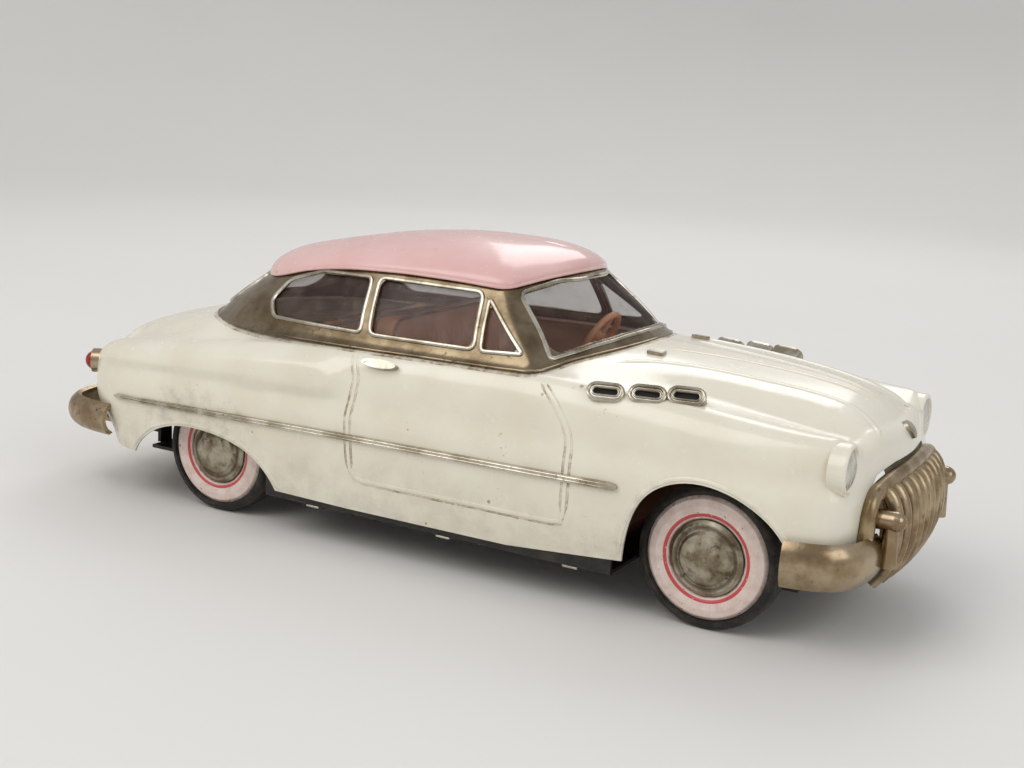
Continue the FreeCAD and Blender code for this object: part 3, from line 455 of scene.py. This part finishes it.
finish = Finish("grille_plate")
x, y, z = finish.axes()
cloud = finish.noise(150, 5, 0.6)
spots = finish.noise(700, 5, 0.6)
tint = finish.mix(cloud.rise(0.36, 0.66), colour(176, 157, 127), colour(128, 107, 79))
tint = finish.mix(spots.rise(0.58, 0.72) * 0.55, tint, colour(72, 52, 34))
# Painted shade: inside the surround, the gaps between the teeth are made near black and less metallic.
across = y * (1 / 0.0040) + 0.5
beside_tooth = across.maths("PINGPONG", across, 0.5)
inside = y.maths("ABSOLUTE", y).rise(0.0206, 0.0200) * z.rise(0.0300, 0.0290)
gap = beside_tooth.rise(0.29, 0.37) * inside
finish.set(Base_Color=finish.mix(gap * 0.92, tint, colour(26, 20, 15)), Metallic=0.97 - gap * 0.8,
           Roughness=cloud * 0.2 + spots * 0.15 + gap * 0.4 + 0.14,
           Normal=finish.bump(spots, 0.3, 0.0001))
grille_plate = finish.material
print("plated finishes", plating.name, frame_plate.name, trim_plate.name, grille_plate.name)

# %% [markdown]
# ## Wheels
# Each disc is lacquered white with a printed red ring inside the white wall. The ring is a
# band of one radius about the axle, so it is drawn by distance and not by a picture.

# %% Wheel finishes
finish = Finish("wheel_white")
reach = axle_distance(finish)
wear = finish.noise(330, 6, 0.65)
tone = finish.mix(wear.rise(0.35, 0.7), colour(231, 213, 205), colour(214, 190, 178))
edge = reach.rise(0.0116, 0.0126) * 0.55 + reach.rise(0.0083, 0.0078) * 0.7
tone = finish.mix(edge * wear.rise(0.25, 0.6), tone, GRIME)
ring = reach.rise(0.00825, 0.00838) * reach.rise(0.00908, 0.00895)
ring = ring * (1 - finish.noise(900, 3).rise(0.66, 0.70) * 0.8)
tone = finish.mix(ring * 0.93, tone, colour(196, 44, 52))
chip = finish.noise(1200, 2).rise(0.70, 0.72)
finish.set(Base_Color=finish.mix(chip, tone, RUST), Roughness=wear * 0.25 + 0.2, Coat_Weight=0.25,
           Coat_Roughness=0.1, Normal=finish.bump(wear - chip, 0.3, 0.0001))
wheel_white = finish.material

finish = Finish("cap_plate")
reach = axle_distance(finish)
scuff = finish.noise(520, 6, 0.7, stretch=(1, 1, 1))
blotch = finish.noise(190, 4, 0.6, shift=0.4)
tint = finish.mix(blotch.rise(0.38, 0.62), colour(178, 170, 152), colour(122, 110, 88))
tint = finish.mix(scuff.rise(0.52, 0.68) * 0.75, tint, colour(72, 62, 48))
groove = reach.rise(0.0056, 0.0060) * reach.rise(0.0068, 0.0063)
tint = finish.mix(groove * 0.6, tint, colour(58, 42, 28))
finish.set(Base_Color=tint, Metallic=0.95 - groove * 0.3,
           Roughness=blotch * 0.25 + scuff * 0.3 + 0.12, Normal=finish.bump(scuff, 0.4, 0.00012))
cap_plate = finish.material

finish = Finish("tyre_rubber")
x, y, z = finish.axes()
reach = axle_distance(finish)
dust = finish.noise(260, 6, 0.7)
worn = reach.rise(0.0138, 0.0146) * 0.5
tone = finish.mix(dust.rise(0.42, 0.75) * 0.6 + worn * 0.3, colour(30, 28, 27), colour(92, 84, 74))
crack = finish.cells(900)
ribs = (y * 2400.0).maths("SINE", y * 2400.0) * reach.rise(0.0139, 0.0145)
finish.set(Base_Color=tone, Roughness=dust * 0.25 + 0.58,
           Normal=finish.bump(ribs * 0.4 + crack * 0.3 + dust * 0.6, 0.5, 0.00022))
tyre_rubber = finish.material
print("wheel finishes", wheel_white.name, cap_plate.name, tyre_rubber.name)

# %% [markdown]
# ## Cabin, windows and hidden tin
# The windows are thin clear sheet, yellowed and dusty. The cabin pieces are pressed card-like
# plastic in amber, and the base is black lacquered tin rubbed on its edges.

# %% Remaining finishes


def window_sheet(name, body, dusty):
    """Thin clear sheet: a faint tint, a gloss film and uneven dust."""
    made = Finish(name)
    dust = made.noise(130, 6, 0.7)
    smear = made.noise(60, 4, 0.5, stretch=(0.3, 1, 1), shift=0.9)
    made.set(Base_Color=made.mix(dust.rise(0.4, 0.7), colour(84, 66, 62), colour(124, 104, 94)),
             Alpha=dust.rise(0.45, 0.75) * dusty + smear.rise(0.5, 0.8) * dusty * 0.6 + body,
             Roughness=dust * 0.16 + 0.03, Normal=made.bump(smear, 0.25, 0.0004))
    return made.material


clear_sheet = window_sheet("clear_sheet", 0.24, 0.09)
screen_sheet = window_sheet("screen_sheet", 0.13, 0.07)


def moulded(name, main, shade, rough):
    """Thin moulded plastic with flow marks and rubbed dust."""
    made = Finish(name)
    flow = made.noise(80, 5, 0.6, stretch=(1, 0.5, 1))
    rub = made.noise(480, 4, 0.6)
    tint = made.mix(flow.rise(0.35, 0.7), main, shade)
    tint = made.mix(rub.rise(0.6, 0.75) * 0.35, tint, GRIME)
    made.set(Base_Color=tint, Roughness=flow * 0.15 + rub * 0.15 + rough,
             Normal=made.bump(rub + flow, 0.3, 0.00015))
    return made.material


amber_plastic = moulded("amber_plastic", colour(228, 154, 92), colour(206, 124, 70), 0.28)
amber_dark = moulded("amber_dark", colour(92, 50, 30), colour(70, 38, 24), 0.35)
peach_plastic = moulded("peach_plastic", colour(240, 184, 142), colour(226, 160, 116), 0.25)
red_plastic = moulded("red_plastic", colour(150, 26, 22), colour(116, 14, 14), 0.14)
motor_steel = old_plate("motor_steel", colour(150, 150, 148), colour(108, 106, 102), colour(78, 56, 40), 0.3)
axle_steel = old_plate("axle_steel", colour(178, 176, 172), colour(128, 124, 118), colour(96, 66, 42), 0.25)

finish = Finish("black_tin")
x, y, z = finish.axes()
scratch = finish.noise(300, 4, 0.6, stretch=(0.12, 1, 1))
dust = finish.noise(140, 6, 0.7)
rub = scratch.rise(0.66, 0.70)
tone = finish.mix(dust.rise(0.4, 0.75) * 0.5, colour(26, 25, 25), colour(84, 74, 62))
finish.set(Base_Color=finish.mix(rub * 0.7, tone, colour(120, 104, 84)), Metallic=rub * 0.5,
           Roughness=dust * 0.3 + 0.3, Normal=finish.bump(dust - rub * 0.4, 0.35, 0.00015))
black_tin = finish.material

finish = Finish("lamp_silver")
x, y, z = finish.axes()
fog = finish.noise(420, 5, 0.6)
flutes = (y * 7000.0).maths("SINE", y * 7000.0)
tone = finish.mix(fog.rise(0.4, 0.7), colour(214, 212, 204), colour(182, 176, 160))
finish.set(Base_Color=tone, Metallic=0.55, Roughness=fog * 0.2 + 0.16,
           Normal=finish.bump(flutes * 0.5 + fog * 0.4, 0.35, 0.00014))
lamp_silver = finish.material

# A see-through brown ribbon finish for the seams: partly dirt, partly painted shade in the corners.
finish = Finish("seam_dirt_and_shade")
patch = finish.noise(150, 5, 0.65)
fine = finish.noise(800, 3, 0.6)
finish.set(Base_Color=finish.mix(fine.rise(0.4, 0.6), colour(178, 146, 106), colour(134, 104, 74)),
           Alpha=(patch.rise(0.36, 0.64) * fine.rise(0.25, 0.6) * 0.34 + 0.03).clamped(),
           Roughness=0.8)
seam_dirt_and_shade = finish.material

# Near-black painted shade for the insides of the port slots, varied a little by noise.
finish = Finish("painted_slot_shade")
slot_shade_tone = finish.noise(500, 4)
finish.set(Base_Color=finish.mix(slot_shade_tone, colour(16, 14, 13), colour(40, 34, 28)), Roughness=slot_shade_tone * 0.2 + 0.7)
painted_slot_shade = finish.material
print("other finishes ready")

# %% [markdown]
# ## Dressing the CAD pieces
# Where the CAD piece already has the real shape it stays, and only takes its finish.

# %% Finishes on the CAD pieces
wearing = {
    "body_shell": cream_paint, "roof_panel": pink_paint, "window_frame": frame_plate,
    "windscreen": screen_sheet, "rear_window": clear_sheet, "side_windows_left": clear_sheet,
    "side_windows_right": clear_sheet, "base_plate": black_tin, "cabin_floor": amber_dark,
    "front_seat": amber_plastic, "rear_seat": amber_plastic, "dashboard": amber_plastic,
    "steering_wheel": peach_plastic, "steering_column": peach_plastic, "motor_block": motor_steel,
    "front_bumper": plating, "grille": grille_plate, "bumper_guards": plating, "rear_bumper": rear_plate,
    "side_trims": trim_plate, "door_handles": trim_plate, "vent_ports": trim_plate,
    "hood_badge": trim_plate, "cowl_clips": trim_plate, "headlamp_rims": cream_paint,
    "headlamp_lenses": lamp_silver, "tail_lamp_rims": plating, "tail_lamp_lenses": red_plastic,
    "number_plate": plate_white,
}
for end in ("front", "rear"):
    wearing[end + "_axle"] = axle_steel
    wearing[end + "_wheel_discs"] = wheel_white
    wearing[end + "_hub_caps"] = cap_plate
    for label, _ in MIRROR_SIDES:
        wearing[end + "_tyre_" + label] = tyre_rubber
for node, material in wearing.items():
    slots = nodes[node].data.materials
    slots.clear()
    slots.append(material)
print(len(wearing), "of", len(nodes), "CAD pieces dressed", set(nodes) - set(wearing))

# %% [markdown]
# ## Pressed door lines
# The doors don't open: each is a raised bead pressed into the side. A round section half sunk
# in the surface and swept along the door's outline gives the same soft line.

# %% Door beads
DOOR_LINE = [(-20.2, 44.2), (-19.2, 41.6), (-18.3, 39.0), (-18.9, 35.6), (-19.4, 32.0), (-19.1, 27.5),
             (-18.7, 22.0), (-18.1, 18.9), (-15.8, 17.4), (-10, 17.3), (11.7, 17.5), (30.5, 17.7),
             (32.6, 18.6), (33.1, 21.5), (33.2, 31.2), (32.4, 36.0), (30.4, 39.6), (28.2, 42.2), (25.4, 44.6)]


def on_surface(node, pairs, side, sink=0.0):
    """Drops (x, z) pairs on a node's side: places and normals, sunk by the given millimetres."""
    places = []
    normals = []
    for x, z in pairs:
        found = on_side(node, x, z, side)
        if found:
            places.append(found[0] - found[1] * sink * MM)
            normals.append(found[1])
    return places, normals


door_path = [(p.x, p.y) for p in smooth_path([(a, b, 0) for a, b in DOOR_LINE], 0.9)]
for label, side in MIRROR_SIDES:
    places, normals = on_surface("body_shell", door_path, side, 0.12)
    bm = bmesh.new()
    sweep(bm, places, normals, 0.55 * MM, 0.36 * MM, taper=3)
    finish_piece("door_line_" + label, bm, cream_paint)

# %% [markdown]
# ## Bonnet creases
# Two soft ribs run forward from the clips and draw together at the nose, and a rounded crease
# bounds the bonnet on each side. Both are pressed in the sheet, so each is a low wide bead
# dropped on the top.

# %% Bonnet ribs
RIB = [(41.0, 7.2), (48, 5.6), (56, 4.5), (64, 3.6), (72, 2.9), (79, 2.3), (83.5, 2.0)]
CREASE = [(35.0, 21.0), (39.0, 18.2), (46.8, 15.6), (55.0, 14.4), (63.5, 13.4), (71.2, 12.2),
          (78.0, 11.2), (82.8, 11.2), (86.4, 12.6), (88.0, 15.4)]
for label, side in MIRROR_SIDES:
    bm = bmesh.new()
    for outline, half, height in ((RIB, 0.75, 0.26), (CREASE, 0.85, 0.24)):
        casts = [on_top("body_shell", p.x, side * p.y) for p in smooth_path([(a, b, 0) for a, b in outline], 1.0)]
        casts = [cast for cast in casts if cast]
        sweep(bm, [c[0] for c in casts], [c[1] for c in casts], half * MM, height * MM, taper=5)
    finish_piece("bonnet_creases_" + label, bm, cream_paint)

# %% [markdown]
# ## Wheel-opening lips
# The sheet is turned out a little round each wheel opening. The lip follows the opening's own
# edge, set back on the body side, and sweeps a slim rounded bead.

# %% Arch lips
ARCHES = {"front": (61, [(-16.9, -4.6), (-16.0, -1.2), (-14.8, 5.4), (-11.3, 12.6), (-5.2, 16.4),
                         (2.5, 16.8), (10.4, 14.1), (16.6, 8.7), (19.4, 1.0)]),
          "rear": (-61, [(23.2, -3.9), (21.7, -2.6), (17.5, 2.4), (10.3, 5.8), (1.0, 7.2), (-6.7, 6.9),
                         (-14.4, 4.5), (-19.4, 0.8), (-22.2, -2.6)])}
for end, (centre, outline) in ARCHES.items():
    path = [(centre + p.x, 14.6 + p.y) for p in smooth_path([(a, b, 0) for a, b in outline], 0.9)]
    for label, side in MIRROR_SIDES:
        places, normals = on_surface("body_shell", path, side, 0.1)
        bm = bmesh.new()
        sweep(bm, places, normals, 0.5 * MM, 0.42 * MM, taper=3)
        finish_piece(end + "_arch_lip_" + label, bm, cream_paint)

# %% [markdown]
# ## Rolled window edges
# Each opening in the plated frame has its edge rolled over, which catches a thin bright line.

# %% Window rims
SIDE_WINDOWS = {
    "door": ([(-20.9, 59.2), (4.6, 59.2), (6.9, 48.6), (-18.6, 48.2)], 1.8),
    "vent": ([(7.4, 57.9), (9.4, 48.8), (18.2, 49.2)], 0.9),
    "quarter": ([(-24.0, 59.0), (-22.0, 48.2), (-46.6, 48.2), (-49.4, 51.4), (-46.8, 55.6), (-38.0, 58.2)], 1.4),
}


def grown(outline, margin):
    """An outline pushed out from its middle."""
    middle = Vector((sum(p[0] for p in outline), sum(p[1] for p in outline))) / len(outline)
    found = []
    for p in outline:
        arm = Vector(p) - middle
        found.append(middle + arm * (1 + margin / arm.length))
    return found


def rim_on(bm, casts, width, height):
    """Sweeps a closed rim through a list of (place, normal) pairs."""
    casts = [cast for cast in casts if cast]
    sweep(bm, [c[0] for c in casts], [c[1] for c in casts], width * MM, height * MM, closed=True)


for name, (outline, radius) in SIDE_WINDOWS.items():
    path = rounded_path([(p.x, p.y, 0) for p in grown(outline, 0.62)], radius)
    for label, side in MIRROR_SIDES:
        bm = bmesh.new()
        rim_on(bm, [on_side("window_frame", p.x, p.y, side) for p in path], 0.5, 0.42)
        finish_piece(name + "_window_rim_" + label, bm, trim_plate)

screen = [(28.2, 47.9), (22.2, 59.7), (12.0, 61.9), (-12.0, 61.9), (-22.2, 59.7), (-28.2, 47.9),
          (-18.0, 50.4), (-9.0, 51.6), (0.0, 52.0), (9.0, 51.6), (18.0, 50.4)]
bm = bmesh.new()
path = rounded_path([(a, b, 0) for a, b in screen], 1.6)
rim_on(bm, [on_front("window_frame", p.x, p.y) for p in path], 0.5, 0.42)
finish_piece("windscreen_rim", bm, trim_plate)

back = [(-17.6, 47.5), (-12.8, 55.3), (12.8, 55.3), (17.6, 47.5)]
bm = bmesh.new()
path = rounded_path([(a, b, 0) for a, b in back], 2.2)
rim_on(bm, [on_front("window_frame", p.x, p.y, -1) for p in path], 0.5, 0.42)
finish_piece("rear_window_rim", bm, trim_plate)

# %% [markdown]
# ## The seam between frame and body
# The frame's foot is a narrow flange clamped on the body. Its edge is a fine bead, and against it
# runs a brown line that is partly old oil and dust and partly painted shade in the corner. The line is
# a paper-thin ribbon whose transparency comes from noise, so it looks like a stain and not like a strip.

# %% Flange bead and seam dirt and shade
FLANGE = [(-75.4, 0, 45.4), (-75.2, 7, 45.3), (-72.8, 16, 45.2), (-66.0, 22.6, 45.0), (-58.0, 27.2, 44.9),
          (-46, 29.8, 45.0), (-33, 31.2, 45.2), (-18, 32.0, 45.5), (-2, 32.3, 45.9), (10, 32.4, 46.1),
          (17.0, 32.4, 46.3), (21.4, 31.9, 46.5), (23.2, 28.4, 47.1), (25.0, 24.4, 48.1), (28.2, 19.6, 49.2),
          (30.9, 13.8, 50.0), (32.6, 7.0, 50.6), (33.1, 0, 50.7)]
half_flange = smooth_path(FLANGE, 1.0)
loop = half_flange + [Vector((p.x, -p.y, p.z)) for p in reversed(half_flange[1:-1])]


def nearest(node, point):
    place, normal, _, _ = surface(node).find_nearest(point)
    return place, normal


def outward_of(points, i):
    """The level direction away from the cabin at a station of a closed loop."""
    ahead = points[(i + 1) % len(points)]
    behind = points[i - 1]
    along = Vector((ahead.x - behind.x, ahead.y - behind.y, 0)).normalized()
    out = Vector((-along.y, along.x, 0))
    middle = Vector((-20.0, 0, 0))
    return out if out.dot(points[i] - middle) > 0 else -out


flange_places = []
stain_and_shade_places = []
stain_and_shade_normals = []
for i, p in enumerate(loop):
    out = outward_of(loop, i)
    edge, _ = nearest("window_frame", at(*(p + out * 1.3 + Vector((0, 0, -0.2)))))
    flange_places.append(edge)
    rest, normal = nearest("body_shell", edge + out * 0.55 * MM)
    stain_and_shade_places.append(rest + normal * 0.03 * MM)
    stain_and_shade_normals.append(normal if normal.z > 0 else -normal)
bm = bmesh.new()
sweep(bm, flange_places, [Vector((0, 0, 1))] * len(loop), 0.34 * MM, 0.30 * MM, closed=True)
finish_piece("flange_bead", bm, frame_plate)
bm = bmesh.new()
sweep(bm, stain_and_shade_places, stain_and_shade_normals, 0.75 * MM, 0.04 * MM, closed=True)
finish_piece("flange_dirt_and_shade", bm, seam_dirt_and_shade)

# %% [markdown]
# ## Painted shade and dirt beside the door beads
# The same ribbon runs in the corner behind each bead, thinner and more broken: painted shade along
# the bead, with some dirt.

# %% Door line shade and dirt
for label, side in MIRROR_SIDES:
    bm = bmesh.new()
    for shift in (-0.7, 0.7):
        path = [(x + shift * (1 if z > 20 else 0), z - (0.6 if z <= 20 else 0)) for x, z in door_path]
        places, normals = on_surface("body_shell", path, side, -0.03)
        sweep(bm, places, normals, 0.32 * MM, 0.035 * MM, taper=2)
    finish_piece("door_shade_and_dirt_" + label, bm, seam_dirt_and_shade)

# %% [markdown]
# ## The roof's turned edge
# The roof pressing ends in a rolled edge just outside the frame. A fine bead marks it.

# %% Roof edge bead
ROOF_EDGE = [(-62.0, 0, 57.6), (-61.6, 5.5, 57.5), (-59.6, 12.5, 57.0), (-56.0, 17.5, 56.3), (-50.5, 20.0, 57.3),
             (-42, 21.6, 59.5), (-32, 22.7, 61.1), (-18, 23.4, 61.9), (-8, 23.6, 62.0), (0.0, 23.7, 61.9),
             (5.5, 23.8, 61.7), (9.0, 23.6, 61.6), (10.4, 21.8, 61.9), (12.2, 17.2, 62.7), (14.0, 13.2, 63.4),
             (15.5, 8.8, 63.9), (16.4, 4.2, 64.2), (16.7, 0, 64.3)]
half_edge = smooth_path(ROOF_EDGE, 1.0)
loop = half_edge + [Vector((p.x, -p.y, p.z)) for p in reversed(half_edge[1:-1])]
places = []
for i, p in enumerate(loop):
    edge, _ = nearest("roof_panel", at(*(p + outward_of(loop, i) * 1.2 + Vector((0, 0, -0.8)))))
    places.append(edge)
bm = bmesh.new()
sweep(bm, places, [Vector((0, 0, 1))] * len(loop), 0.30 * MM, 0.34 * MM, closed=True)
finish_piece("roof_edge_bead", bm, pink_paint)

# %% [markdown]
# ## Two ridges on the side strip
# The long strip is a pressed channel: two fine ridges with a groove between them.

# %% Strip ridges
for label, side in MIRROR_SIDES:
    bm = bmesh.new()
    for lift in (0.36, -0.30):
        points = [(-86.0, 24.55 + lift * 0.5), (-70, 25.25 + lift), (-30, 26.35 + lift), (42.0, 27.45 + lift)]
        path = [(p.x, p.y) for p in smooth_path([(a, b, 0) for a, b in points], 2.5)]
        places, normals = on_surface("side_trims", path, side, 0.0)
        sweep(bm, places, normals, 0.20 * MM, 0.24 * MM, taper=2)
    finish_piece("strip_ridges_" + label, bm, trim_plate)

# %% [markdown]
# ## Bonnet ports
# Each port is a plated plate with half-round ends and a slot. Its edge and the slot's edge
# are rolled, so a bead is swept round each, and a near-black block behind each slot is painted shade for the
# slot's depth.

# %% Port bezels and slots
PORTS = [(38.9, 34.2, 44.7), (46.9, 32.2, 45.1), (54.1, 30.0, 45.5)]
PORT_LIFT = 0.5


def stadium(length, width, spacing=0.5):
    """Offsets round a flat-sided oval."""
    found = []
    run = length - width
    for end in (1, -1):
        start = -90 if end == 1 else 90
        for k in range(11):
            a = math.radians(start + 18 * k)
            found.append((end * run / 2 + width / 2 * math.cos(a), width / 2 * math.sin(a)))
        steps = int(run / spacing)
        for k in range(1, steps):
            found.append((end * (run / 2 - run * k / steps), end * width / 2))
    return found


for label, side in MIRROR_SIDES:
    rings = bmesh.new()
    slots = bmesh.new()
    out = Vector((0.19, side * 0.78, 0.60)).normalized()
    along = Vector((0, 0, 1)).cross(out).normalized()
    up = out.cross(along)
    for x, y, z in PORTS:
        middle = at(x, side * y, z) + out * PORT_LIFT * MM
        for length, width, half, rise in ((6.9, 3.3, 0.40, 0.05), (5.3, 1.7, 0.24, 0.02)):
            rim = [middle + (along * u + up * v + out * rise) * MM for u, v in stadium(length, width)]
            sweep(rings, rim, [out] * len(rim), half * MM, half * MM, closed=True)
        turn = Matrix((along, up, out)).transposed()
        block(slots, middle - out * 0.75 * MM, (5.2 * MM, 1.6 * MM, 0.5 * MM), 0.05 * MM, turn)
    finish_piece("port_bezels_" + label, rings, trim_plate)
    finish_piece("port_slot_shade_" + label, slots, painted_slot_shade)

# %% [markdown]
# ## Cabin
# The seats are single pressings with a dark piping line along the top and pleats pressed down
# the back. The wheel and dash are plain mouldings.

# %% Seat piping and pleats
for name, x_back, top, half, floor in (("front", -18.0, 50.5, 26.0, 16.2), ("rear", -38.6, 46.0, 26.0, 16.2)):
    bm = bmesh.new()
    pleats = bmesh.new()
    height = top - floor
    corner = [(half, top - 9), (half - 0.4, top - 3.4), (half - 3.2, top - 0.4), (half - 9, top)]
    across = corner + [(0, top)] + [(-a, b) for a, b in reversed(corner)]
    for face, lean in ((1, 5.5), (0, 0.0)):
        line = []
        for p in smooth_path([(a, b, 0) for a, b in across], 1.2):
            share = (p.y - floor) / height
            x = x_back + (4.0 - 3.0 - 5.5) * share + 5.5 if face else x_back - 3.0 * share
            line.append(at(x, p.x, p.y))
        sweep(bm, line, [Vector((1, 0, 0.05)).normalized()] * len(line), 0.34 * MM, 0.34 * MM, taper=2)
    for k in range(-5, 6):
        y = k * 4.3
        line = []
        for j in range(9):
            z = floor + 14.0 + (height - 17.5) * j / 8
            share = (z - floor) / height
            line.append(at(x_back + 5.5 - 4.5 * share, y, z))
        sweep(pleats, line, [Vector((1, 0, 0.05)).normalized()] * 9, 1.7 * MM, 0.45 * MM, taper=2)
    finish_piece(name + "_seat_piping", bm, amber_dark)
    finish_piece(name + "_seat_pleats", pleats, amber_plastic)

# %% [markdown]
# ## Base tabs and ribs
# Bright bent tabs hold the base to the body, and two ribs stiffen the plate.

# %% Tabs and ribs
bm = bmesh.new()
for side in (1, -1):
    for x in (-30.0, 4.0, 34.0):
        block(bm, at(x, side * 34.2, 8.15), (3.4 * MM, 1.6 * MM, 0.5 * MM), 0.12 * MM)
for x in (-84.0, 72.0):
    block(bm, at(x, 0, 8.15), (1.6 * MM, 5.0 * MM, 0.5 * MM), 0.12 * MM)
finish_piece("base_tabs", bm, trim_plate)
bm = bmesh.new()
for y in (-12.0, 12.0):
    line = [at(x, y, 8.4) for x in range(-40, 42, 4)]
    sweep(bm, line, [Vector((0, 0, -1))] * len(line), 1.6 * MM, 0.5 * MM, taper=2)
finish_piece("base_ribs", bm, black_tin)

# %% [markdown]
# ## Studio
# A pale bowl stands in for floor and backdrop from every side, so no horizon shows. Its wall
# stops low enough to let the sky light in from above, and three large lamps shape the gloss.

# %% Floor and backdrop
finish = Finish("pale_floor")
grain = finish.noise(6, 4, 0.5)
finish.set(Base_Color=finish.mix(grain, colour(224, 222, 218), colour(229, 227, 223)), Roughness=0.75,
           Specular_IOR_Level=0.2)
pale_floor = finish.material
bm = bmesh.new()
outline = [(0.0, 0.0), (0.5, 0.0), (0.9, 0.0)]
for k in range(1, 11):
    a = math.pi / 2 * k / 10
    outline.append((0.9 + 0.5 * math.sin(a), 0.5 - 0.5 * math.cos(a)))
outline.append((1.4, 0.9))
spun(bm, outline, Vector((0, 0, 0)), Vector((0, 0, 1)), Vector((1, 0, 0)), 64)
mesh = bpy.data.meshes.new("studio_bowl")
bmesh.ops.recalc_face_normals(bm, faces=bm.faces)
bmesh.ops.reverse_faces(bm, faces=bm.faces)
bm.to_mesh(mesh)
bm.free()
mesh.shade_smooth()
mesh.materials.append(pale_floor)
bowl = bpy.data.objects.new("studio_bowl", mesh)
bpy.context.scene.collection.objects.link(bowl)
print("bowl", len(mesh.polygons), "faces")

# %% Lamps and sky
world = bpy.data.worlds.new("studio_sky")
bpy.context.scene.world = world
world.use_nodes = True
world.node_tree.nodes["Background"].inputs["Color"].default_value = (0.93, 0.95, 1.0, 1.0)
world.node_tree.nodes["Background"].inputs["Strength"].default_value = 0.58


def lamp(name, place, aim, size, power, tint):
    """A soft square lamp turned towards a point."""
    light = bpy.data.lights.new(name, "AREA")
    light.shape = "SQUARE"
    light.size = size
    light.energy = power
    light.color = tint
    holder = bpy.data.objects.new(name, light)
    bpy.context.scene.collection.objects.link(holder)
    holder.location = place
    holder.rotation_euler = (Vector(aim) - Vector(place)).to_track_quat("-Z", "Y").to_euler()
    return holder


lamp("key_lamp", (-0.35, -0.65, 0.80), (0, 0, 0.03), 0.8, 4.4, (1.0, 0.97, 0.93))
lamp("fill_lamp", (0.85, -0.30, 0.55), (0, 0, 0.03), 0.6, 1.8, (0.95, 0.97, 1.0))
lamp("back_lamp", (-0.2, 0.75, 0.75), (0, 0, 0.05), 0.6, 2.6, (1.0, 1.0, 1.0))

# %% [markdown]
# ## Camera
# The camera looks a little down from the car's right front, from about a foot and a half away.

# %% Camera
HEADING = 118.47
PITCH = -11.96
ROLL = 3.35
lens = bpy.data.cameras.new("toy_camera")
lens.sensor_width = 36.0
lens.lens = 49.95
lens.clip_start = 0.01
camera = bpy.data.objects.new("toy_camera", lens)
bpy.context.scene.collection.objects.link(camera)
turn = (Matrix.Rotation(math.radians(HEADING - 90), 4, "Z") @ Matrix.Rotation(math.radians(90 + PITCH), 4, "X")
        @ Matrix.Rotation(math.radians(ROLL), 4, "Z"))
turn.translation = at(151.5, -280.2, 102.5)
camera.matrix_world = turn
bpy.context.scene.camera = camera
bpy.context.scene.view_settings.view_transform = "Standard"
print("camera", [round(v, 4) for v in camera.location])
